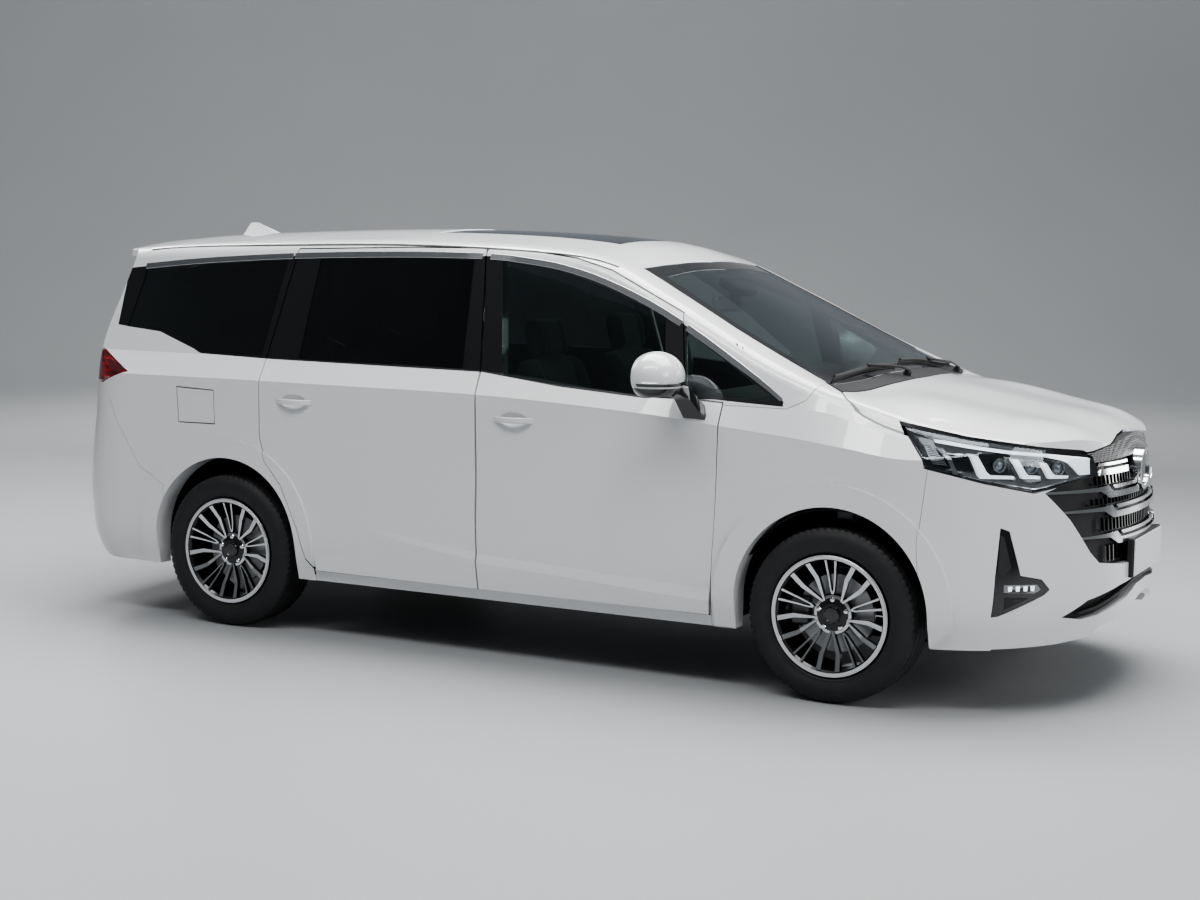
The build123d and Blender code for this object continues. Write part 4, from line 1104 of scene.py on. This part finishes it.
def pad_shape(half, centre, axes, bolster=0.0, channels=(), columns=84, rows=84):
    """Closed pad: half thickness, width and length; axes face out, across and along"""
    thick, wide, long = half
    face_axis, across_axis, along_axis = axes
    pad_edge, bolster_edge, side_seam, end_seam = 0.52, 0.56, 0.57, 0.90
    points, index = [], {}
    for layer in (1, -1):
        for i in range(columns + 1):
            for j in range(rows + 1):
                p = math.sin(math.pi / 2 * (2 * i / columns - 1))
                q = math.sin(math.pi / 2 * (2 * j / rows - 1))
                border = i in (0, columns) or j in (0, rows)
                if border and layer < 0:
                    index[(layer, i, j)] = index[(1, i, j)]
                    continue
                body = ((1 - abs(p) ** 6) * (1 - abs(q) ** 6)) ** 0.5
                height = thick * body
                if layer > 0:
                    inner = 1 - smooth_step((abs(p) - pad_edge) / 0.10)
                    rise = bolster * smooth_step((abs(p) - bolster_edge) / 0.24) - 0.005 * inner
                    rise -= 0.007 * math.exp(-(((abs(p) - side_seam) * wide) / 0.006) ** 2)
                    for line in channels:
                        rise -= 0.008 * inner * math.exp(-(((q - line) * long) / 0.008) ** 2)
                    rise -= 0.004 * math.exp(-(((abs(q) - end_seam) * long) / 0.006) ** 2)
                    height += rise * body
                across = wide * p * math.sqrt(1 - 0.10 * q * q)
                along = long * q * math.sqrt(1 - 0.10 * p * p)
                index[(layer, i, j)] = len(points)
                spot = centre + face_axis * (layer * height)
                points.append(spot + across_axis * across + along_axis * along)
    faces = []
    for layer in (1, -1):
        for i in range(columns):
            for j in range(rows):
                corners = [(i, j), (i + 1, j), (i + 1, j + 1), (i, j + 1)]
                faces.append(tuple(index[(layer, *c)] for c in (corners if layer > 0 else corners[::-1])))
    return points, faces


def rod(start, end, radius, steps=16):
    """Round bar between two places"""
    axis = end - start
    return turned([(0.0, 0.0), (0.0, radius), (axis.length, radius), (axis.length, 0.0)], steps, start, axis)


back_lean = math.radians(14)
back_up = Vector((-math.sin(back_lean), 0, math.cos(back_lean)))
back_out = Vector((math.cos(back_lean), 0, math.sin(back_lean)))
seat_depth, seat_rise = 0.50, 0.15
base_axes = (z_axis, y_axis, x_axis)
back_axes = (back_out, y_axis, back_up)


def make_seat(name, node, x, y, width, base_height, floor_height, places=1):
    """One seat or bench: pads over a moulded base, standing on rails"""
    middle = Vector((x + seat_depth / 2, y, base_height + seat_rise / 2))
    back_foot = Vector((x + 0.02, y, base_height + 0.11))
    share_width = width / places
    bolster = 0.030 if places == 1 else 0.006
    base_half = (0.070, share_width / 2 - 0.001, 0.247)
    back_half = (0.058, (width - 0.02) / places / 2 - 0.001, 0.325)
    head_half = (0.042, 0.128, 0.083)
    pads = []
    for k in range(places):
        offset = Vector((0, (k - (places - 1) / 2) * share_width, 0))
        base = pad_shape(base_half, middle + offset, base_axes, bolster, (-0.35, 0.35))
        foot = back_foot + offset
        back = pad_shape(back_half, foot + back_up * 0.33, back_axes, bolster, (-0.45, 0.0, 0.45))
        head = foot + back_up * 0.73 + back_out * 0.012
        rest = pad_shape(head_half, head, back_axes, 0.010, (), 40, 40)
        pads += [("base", base), ("back", back), ("head", rest)]
        posts = []
        for s in (-1, 1):
            spot = head + Vector((0, s * 0.06, 0))
            posts.append(rod(spot - back_up * 0.13, spot - back_up * 0.02, 0.006))
        edge_smooth(outward(make_piece(f"{name}_posts_{k}", *merged(posts), "body", steel)), 40)
    for k, (part, shape) in enumerate(pads):
        pad = outward(make_piece(f"{name}_{part}_{k}", *shape, "body", seat_cloth))
        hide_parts(node)
    skirt = rounded_box((0.40, width - 0.05, 0.075), (x + 0.24, y, base_height + 0.010), 0.018)
    shell_centre = back_foot + back_up * 0.34 - back_out * 0.055
    shell_turn = Matrix((back_out, y_axis, back_up)).transposed()
    shell = rounded_box((0.022, width - 0.09, 0.52), shell_centre, 0.008, shell_turn)
    leg_size, leg_middle = (0.36, 0.036, base_height - floor_height), (base_height + floor_height) / 2
    legs, rails = [], []
    for s in (-1, 1):
        rail_y = y + s * (width / 2 - 0.08)
        legs.append(rounded_box(leg_size, (x + 0.25, rail_y, leg_middle), 0.006))
        rails.append(rounded_box((0.50, 0.044, 0.022), (x + 0.24, rail_y, floor_height + 0.0115), 0.005))
    crisp(f"{name}_shell", merged([skirt, shell]), "body", trim_grey)
    crisp(f"{name}_rails", merged(legs + rails), "body", steel)


floor_height, bench_step = 0.318, 0.060
# Single seats: name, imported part, rear x, distance from the middle, width and height of the base
seat_rows = (
    ("front_seat", "front_seats", 0.060, 0.370, 0.510, 0.470),
    ("middle_seat", "rear_seats", -0.860, 0.395, 0.500, 0.470),
)
for side, way in SIDES:
    for name, node, x, y, width, base_height in seat_rows:
        make_seat(f"{name}_{side}", node, x, way * y, width, base_height, floor_height)
make_seat("bench", "rear_seats", -1.690, 0.0, 0.900, 0.500, floor_height + bench_step, 2)


# Tail lamps: a red lens over glowing bars in a red housing
tail_low = [(-0.74, 1.094), (-0.82, 1.050), (-0.95, 1.042), (-1.19, 1.042)]
tail_high = [(-0.74, 1.104), (-0.85, 1.165), (-0.93, 1.186), (-1.19, 1.166)]
tail_bar_heights = (1.070, 1.095, 1.120, 1.145)
tail_bar_steps, tail_bar_end = 12, -1.14


def tail_depth(along, up):
    """Depth of the red housing behind the tail lens"""
    return 0.004 + 0.024 * edge_share(along, up, 0.2)


def tail_bar(k, height):
    """Outline of one bright bar, longer toward the bottom"""
    start = -0.83 - 0.012 * k
    reach = tail_bar_end - start
    upper = [(start + reach * i / tail_bar_steps, height + 0.004) for i in range(tail_bar_steps + 1)]
    return upper + [(across, up - 0.007) for across, up in upper[::-1]]


for side, way in SIDES:
    place_at = corner_place(Skin("tail_lamps"), -1, way)
    cover = shell_between(place_at, tail_low, tail_high, tail_columns, lens_rows, lens_depth, 0.003, 0.003)
    tail = solid(f"tail_lens_{side}", cover, "body", red_lens, 50)
    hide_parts("tail_lamps")
    housing = shell_between(place_at, tail_low, tail_high, tail_columns, lens_rows, tail_depth, 0.004)
    solid(f"tail_housing_{side}", housing, "body", red_part, 50)
    outlines = [tail_bar(k, height) for k, height in enumerate(tail_bar_heights)]
    bars = merged([slab(place_at, outline, 0.010, 0.020, 0.05) for outline in outlines])
    solid(f"tail_bars_{side}", bars, "body", tail_glow)


# Rear end: plate with its panel and lamps, bright bar, handle shade, reflectors, lower trim and sensors
reflector_corners = [(0.56, 0.455), (0.78, 0.462), (0.78, 0.486), (0.56, 0.480)]
sensor_profile = [(-0.002, 0.0), (-0.002, 0.011), (0.0012, 0.011), (0.0018, 0.009), (0.0018, 0.0)]
rear_skin = Skin("tailgate", "rear_bumper")
tail_place = end_place(rear_skin, -1)
glass_place = end_place(Skin("tailgate_glass"), -1)
plate_panel = patch(tail_place, [(-0.30, 0.80), (0.30, 0.80), (0.28, 0.95), (-0.28, 0.95)], -0.002, 0.004)
solid("rear_plate_panel", plate_panel, "tailgate_panel", grained_black)
rear_bright = patch(tail_place, [(-0.62, 1.052), (0.62, 1.052), (0.64, 1.082), (-0.64, 1.082)], -0.006, 0.003)
solid("rear_bright_bar", rear_bright, "tailgate_panel", satin_chrome)
rear_shade = patch(tail_place, [(-0.60, 1.020), (0.60, 1.020), (0.61, 1.050), (-0.61, 1.050)], -0.002, 0.003)
solid("rear_handle_shade", rear_shade, "tailgate_panel", gloss_black)
plate_foot, plate_head = tail_place(0.0, 0.805), tail_place(0.0, 0.945)
plate_lean = Matrix.Rotation(math.atan2(plate_head.x - plate_foot.x, plate_head.z - plate_foot.z), 3, "Y")
middle = (plate_foot + plate_head) / 2
rear_plate = rounded_box((0.005, 0.440, 0.140), middle - Vector((0.0075, 0, 0)), 0.0015, plate_lean)
crisp("rear_plate", rear_plate, "tailgate_panel", plate_white)
plate_lamps = []
for y in (-0.12, 0.12):
    spot = (plate_head.x - 0.006, y, 0.958)
    plate_lamps.append(rounded_box((0.016, 0.05, 0.014), spot, 0.003, plate_lean))
crisp("plate_lamps", merged(plate_lamps), "tailgate_panel", lamp_grey)
for side, way in SIDES:
    corners = [(way * y, z) for y, z in reflector_corners]
    reflector = patch(tail_place, corners, -0.003, 0.004)
    solid(f"rear_reflector_{side}", reflector, "body", red_part)
lower_trim = patch(tail_place, [(-0.58, 0.290), (0.58, 0.290), (0.66, 0.400), (-0.66, 0.400)], -0.003, 0.003)
solid("rear_lower_trim", lower_trim, "body", grained_black)
sensor_spots = [tail_place(y, 0.520) for y in (-0.62, -0.24, 0.24, 0.62)]
discs = merged([turned(sensor_profile, 28, spot, rearward) for spot in sensor_spots])
solid("rear_sensors", discs, "body", paint)

# Rear glass: black border, heating lines and the wiper
glass_edge = [(-0.600, 1.212), (0.600, 1.212), (0.556, 1.538), (-0.556, 1.538)]
inner_edge = [(-0.545, 1.262), (0.545, 1.262), (0.510, 1.500), (-0.510, 1.500)]
frames = []
for k in range(4):
    after = (k + 1) % 4
    corners = [glass_edge[k], glass_edge[after], inner_edge[after], inner_edge[k]]
    frames.append(patch(glass_place, corners, -0.0006, 0.0004))
solid("rear_glass_border", merged(frames), "tailgate_panel", gloss_black)
heating_count, heating_steps, heating_foot = 9, 16, 1.262
lines = []
for k in range(heating_count):
    height = 1.275 + 0.026 * k
    half = 0.535 - 0.10 * (height - heating_foot)
    spots = [-half + 2 * half * i / heating_steps for i in range(heating_steps + 1)]
    path = [glass_place(y, height, 0.0062) for y in spots]
    lines.append(sweep(path, [rearward] * len(path), tube_section(0.0014, 0.0006)))
crisp("rear_heating_lines", merged(lines), "tailgate_panel", steel)


def wiper(name, project, pivot, tip_low, tip_high, body, out):
    """Wiper: a pivot cap, a bent arm to the middle of a blade that follows the glass"""
    steps = 14
    blade = [project(*(a + (b - a) * i / steps for a, b in zip(tip_low, tip_high))) for i in range(steps + 1)]
    blade = [spot + out * 0.010 for spot in blade if spot is not None]
    normals = [out] * len(blade)
    sizes = [0.6 + 0.4 * math.sin(math.pi * i / (len(blade) - 1)) for i in range(len(blade))]
    rubber_strip = sweep([spot - out * 0.008 for spot in blade], normals, tube_section(0.006, 0.009), sizes)
    holder = sweep(blade, normals, tube_section(0.015, 0.011, 0.4), sizes)
    middle = blade[len(blade) // 2] + out * 0.008
    root = project(*pivot)
    bend = root + (middle - root) * 0.25 + out * 0.026
    arm_path = [root + out * 0.008, root + out * 0.020, bend, middle + out * 0.004]
    arm = sweep(arm_path, [out] * 4, tube_section(0.016, 0.007, 0.4), [1.2, 1.1, 0.9, 0.7])
    cap = turned([(0.0, 0.0), (0.0, 0.017), (0.018, 0.015), (0.022, 0.009), (0.023, 0.0)], 32, root, out)
    piece = make_piece(name, *merged([rubber_strip, holder, arm, cap]), body, grained_black)
    return outward(edge_smooth(piece, 30))


rear_out = Vector((-1, 0, 0.1)).normalized()
rear_place = end_place(Skin("tailgate_glass", "tailgate"), -1)
wiper("rear_wiper", rear_place, (0.0, 1.225), (-0.03, 1.240), (-0.36, 1.262), "tailgate_panel", rear_out)


# Front wipers on the screen, and its black border
screen_skin = Skin("front_fixed_glass", "cowl", "bonnet")


def screen_place(x, y):
    """A place on the screen or the panels below it, seen from above"""
    return screen_skin.above(x, y)[0]


screen_out = Vector((0.45, 0, 0.89)).normalized()
wiper("front_wiper_left", screen_place, (1.405, 0.62), (1.345, 0.70), (1.330, 0.08), "body", screen_out)
wiper("front_wiper_right", screen_place, (1.430, -0.10), (1.352, -0.02), (1.316, -0.62), "body", screen_out)
glass_top = Skin("front_fixed_glass")


def glass_from_above(x, y, depth=0.0):
    """A place on the screen at a depth square to the glass"""
    place, normal = glass_top.above(x, y)
    return None if place is None else place - normal * depth


frit_outer = [
    (0.520, 0.0), (0.508, 0.300), (0.480, 0.566), (0.930, 0.656),
    (1.334, 0.706), (1.380, 0.400), (1.392, 0.0),
]
frit_inner = [
    (0.580, 0.0), (0.566, 0.290), (0.560, 0.520), (0.940, 0.612),
    (1.270, 0.650), (1.310, 0.390), (1.322, 0.0),
]
borders = []
for way in (1, -1):
    for k in range(len(frit_outer) - 1):
        quad = [frit_outer[k], frit_outer[k + 1], frit_inner[k + 1], frit_inner[k]]
        borders.append(patch(glass_from_above, [(x, way * y) for x, y in quad], -0.0006, 0.0003, 0.03))
solid("screen_border", merged(borders), "body", gloss_black)

# Door mirrors: glass in the flat back, a dark foot slot and a bright side strip
mirror_steps, strip_steps = 48, 32
mirror_lines = (
    ("slot", 1.178, (0.012, 0.0016), gloss_black),
    ("strip", 1.187, (0.006, 0.0026), satin_chrome),
)
for side, way in SIDES:
    back_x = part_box(f"door_mirror_{side}")[0].x
    centre = Vector((0.772, way * 1.034, 1.206))
    skin = Skin(f"door_mirror_{side}")
    body = f"front_door_{side}_panel"
    oval, inner = [], []
    for i in range(mirror_steps):
        angle = 2 * math.pi * i / mirror_steps
        squarish = (abs(math.cos(angle)) ** 4 + abs(math.sin(angle)) ** 4) ** -0.25
        y, z = 0.074 * squarish * math.cos(angle), 0.048 * squarish * math.sin(angle)
        oval.append(Vector((back_x - 0.0015, centre.y + y * 1.04, centre.z + 0.004 + z * 1.05)))
        inner.append(Vector((back_x - 0.0030, centre.y + y, centre.z + 0.004 + z)))
    rim = [Vector((back_x + 0.004, spot.y, spot.z)) for spot in oval]
    faces = grid_faces(3, mirror_steps, False, True)
    faces.append(tuple(range(2 * mirror_steps, 3 * mirror_steps)))
    faces.append(tuple(range(mirror_steps))[::-1])
    solid(f"mirror_glass_{side}", (rim + oval + inner, faces), body, mirror_glass)
    for name, height, size, material in mirror_lines:
        path, normals = [], []
        for i in range(strip_steps + 1):
            angle = math.radians(-20 + 125 * i / strip_steps)
            ray = Vector((math.cos(angle), way * math.sin(angle), 0))
            origin = Vector((centre.x, centre.y, height)) + ray * 0.3
            place, normal = skin.hit(origin, -ray)
            if place is not None and abs(place.x - centre.x) < 0.12 and place.y * way > 0.95:
                path.append(place - normal * 0.0004)
                normals.append(normal)
        strip = sweep(path, normals, tube_section(*size))
        edge_smooth(outward(make_piece(f"mirror_{name}_{side}", *strip, body, material)), 30)


# Inside: rear-view mirror and sensor housing, screens, dash cover, vents, bright line, console and lever
sensor = rounded_box((0.13, 0.15, 0.05), (0.640, 0, 1.522), 0.015, pitched(24))
crisp("screen_sensor_housing", sensor, "body", grained_black)
mirror_body = rounded_box((0.030, 0.250, 0.070), (0.590, 0, 1.446), 0.013, pitched(-8))
stalk = rod(Vector((0.632, 0, 1.510)), Vector((0.598, 0, 1.456)), 0.009)
crisp("inside_mirror", merged([mirror_body, stalk]), "body", gloss_black)
pane = rounded_box((0.003, 0.236, 0.058), (0.5735, 0, 1.4445), 0.001, pitched(-8))
crisp("inside_mirror_glass", pane, "body", mirror_glass)

lean = pitched(-12)
screen = rounded_box((0.018, 0.270, 0.160), (0.785, 0.0, 1.125), 0.006, lean)
cluster = rounded_box((0.016, 0.290, 0.110), (0.800, 0.370, 1.110), 0.006, lean)
crisp("dash_screens", merged([screen, cluster]), "body", gloss_black)
hood = rounded_box((0.13, 0.34, 0.030), (0.860, 0.370, 1.165), 0.012, pitched(8))
shelf = rounded_box((0.20, 1.46, 0.030), (0.905, 0.0, 1.098), 0.012, pitched(9))
crisp("dash_cover", merged([hood, shelf]), "body", trim_grey)
vents = []
for y in (-0.68, -0.22, 0.20, 0.68):
    for k in range(4):
        vents.append(rounded_box((0.020, 0.110, 0.004), (0.768, y, 0.985 + 0.012 * k), 0.001, lean))
crisp("dash_vents", merged(vents), "body", satin_chrome)
trim_line = rounded_box((0.010, 1.44, 0.012), (0.767, 0.0, 0.962), 0.003, lean)
crisp("dash_line", trim_line, "body", satin_chrome)
console = [
    rounded_box((0.52, 0.220, 0.10), (0.60, 0, 0.800), 0.03, pitched(-10)),
    rounded_box((0.30, 0.200, 0.42), (0.70, 0, 0.600), 0.03),
]
crisp("centre_console", merged(console), "body", dash_black)
lever = rod(Vector((0.52, 0, 0.83)), Vector((0.50, 0, 0.905)), 0.010)
knob_axes = (x_axis, y_axis, z_axis)
knob = pad_shape((0.020, 0.020, 0.028), Vector((0.498, 0, 0.925)), knob_axes, columns=20, rows=20)
edge_smooth(outward(make_piece("gear_lever", *merged([lever, knob]), "body", gloss_black)), 50)

# Door linings: an armrest, a pocket and a handle on each door
lining_x = {"front": 0.36, "rear": -0.62}
for side, way in SIDES:
    for row, x in lining_x.items():
        body = f"{row}_door_{side}_panel"
        door_skin = Skin(f"{row}_door_{side}")
        place, _ = door_skin.hit((x, way * 0.2, 0.86), (0, way, 0))
        reach = place.y - way * 0.030
        rest = pad_shape((0.030, 0.040, 0.26), Vector((x, reach, 0.86)), base_axes, columns=24, rows=40)
        outward(make_piece(f"{row}_armrest_{side}", *rest, body, trim_grey))
        pocket = rounded_box((0.60, 0.035, 0.13), (x, place.y - way * 0.010, 0.50), 0.012)
        crisp(f"{row}_door_pocket_{side}", pocket, body, dash_black)
        pull = rounded_box((0.11, 0.012, 0.022), (x + 0.20, place.y - way * 0.012, 0.960), 0.004)
        crisp(f"{row}_door_pull_{side}", pull, body, satin_chrome)

# Plastic liners of the front wheel arches
liner_radius, liner_thickness = 0.394, 0.003
liner_start, liner_sweep = math.radians(-8), math.radians(196)
liner_inner, liner_outer = 0.600, 0.862
for side, way in SIDES:
    def liner_place(along, up, layer):
        """A place on the liner, from shares of its turn and of its width"""
        angle, radius = liner_start + liner_sweep * along, liner_radius + liner_thickness * layer
        across = way * (liner_inner + (liner_outer - liner_inner) * up)
        x, z = axle_x["front"] + radius * math.cos(angle), hub_height + radius * math.sin(angle)
        return Vector((x, across, z))

    solid(f"arch_liner_{side}", grid_shell(liner_place, 48, 2), "body", under_black)


# Stage, camera and light
def stage_floor():
    """Pale round floor that rises in a wide curve all round the vehicle"""
    flat, turn, height, steps, around = 14.0, 7.0, 13.0, 16, 96
    rows = [(0.001, 0.0), (flat / 2, 0.0), (flat, 0.0)]
    bend = [math.pi / 2 * i / steps for i in range(1, steps + 1)]
    rows += [(flat + turn * math.sin(angle), turn - turn * math.cos(angle)) for angle in bend]
    rows.append((flat + turn, height))
    ring = [2 * math.pi * k / around for k in range(around)]
    points = [(radius * math.cos(angle), radius * math.sin(angle), z) for radius, z in rows for angle in ring]
    mesh = bpy.data.meshes.new("studio_floor")
    mesh.from_pydata(points, [], grid_faces(len(rows), around, False, True))
    mesh.shade_smooth()
    floor = bpy.data.objects.new("studio_floor", mesh)
    bpy.context.scene.collection.objects.link(floor)
    material, tree, shader = new_material("studio_floor")
    place = tree.nodes.new("ShaderNodeTexCoord").outputs["Object"]
    tone = noise(tree, place, 0.35, 2.0)
    shade = mix_colour(tree, tone, (0.36, 0.37, 0.38, 1.0), (0.40, 0.41, 0.42, 1.0))
    join(tree, shade, shader.inputs["Base Color"])
    shader.inputs["Roughness"].default_value = 0.5
    mesh.materials.append(material)


def soft_light(name, size, place, target, power):
    """Large soft lamp that looks at a target"""
    light = bpy.data.lights.new(name, "AREA")
    light.shape = "RECTANGLE"
    light.size, light.size_y = size
    light.energy = power
    lamp = bpy.data.objects.new(name, light)
    lamp.location = place
    lamp.rotation_euler = (Vector(target) - Vector(place)).to_track_quat("-Z", "Y").to_euler()
    bpy.context.scene.collection.objects.link(lamp)


camera_place = Vector((4.0564, -7.695, 1.7435))
camera_target = Vector((-0.012, 0.0, 0.7832))
camera_roll = math.radians(0.782)
camera_data = bpy.data.cameras.new("camera")
camera_data.sensor_width = 36.0
camera_data.lens = 59.36
camera = bpy.data.objects.new("camera", camera_data)
camera.location = camera_place
aim = (camera_target - camera_place).to_track_quat("-Z", "Y").to_matrix()
camera.rotation_euler = (aim @ Matrix.Rotation(camera_roll, 3, "Z")).to_euler()
bpy.context.scene.collection.objects.link(camera)
bpy.context.scene.camera = camera

stage_floor()
soft_light("overhead", (9.0, 4.0), (0.3, 1.2, 6.5), (0, 0, 0.5), 860)
soft_light("right_side", (9.0, 1.8), (0.8, -5.2, 8.0), (0, -0.5, 0.6), 440)
soft_light("front", (3.5, 3.0), (9.5, -2.5, 3.6), (1.8, 0, 0.8), 190)
soft_light("front_left", (6.0, 3.6), (8.5, 10.0, 2.6), (2.0, 0.5, 0.8), 400)
soft_light("rear", (5.0, 3.0), (-9.0, 3.5, 5.5), (-1.5, 0, 0.9), 240)
soft_light("backdrop", (9.0, 1.2), (-4.0, 7.0, 5.4), (-8.5, 17.0, 1.6), 720)
world = bpy.data.worlds.new("studio")
bpy.context.scene.world = world
world.use_nodes = True
background = world.node_tree.nodes["Background"]
background.inputs["Color"].default_value = (0.80, 0.84, 0.88, 1.0)
background.inputs["Strength"].default_value = 0.24

bpy.context.scene.view_settings.look = "AgX - Medium High Contrast"
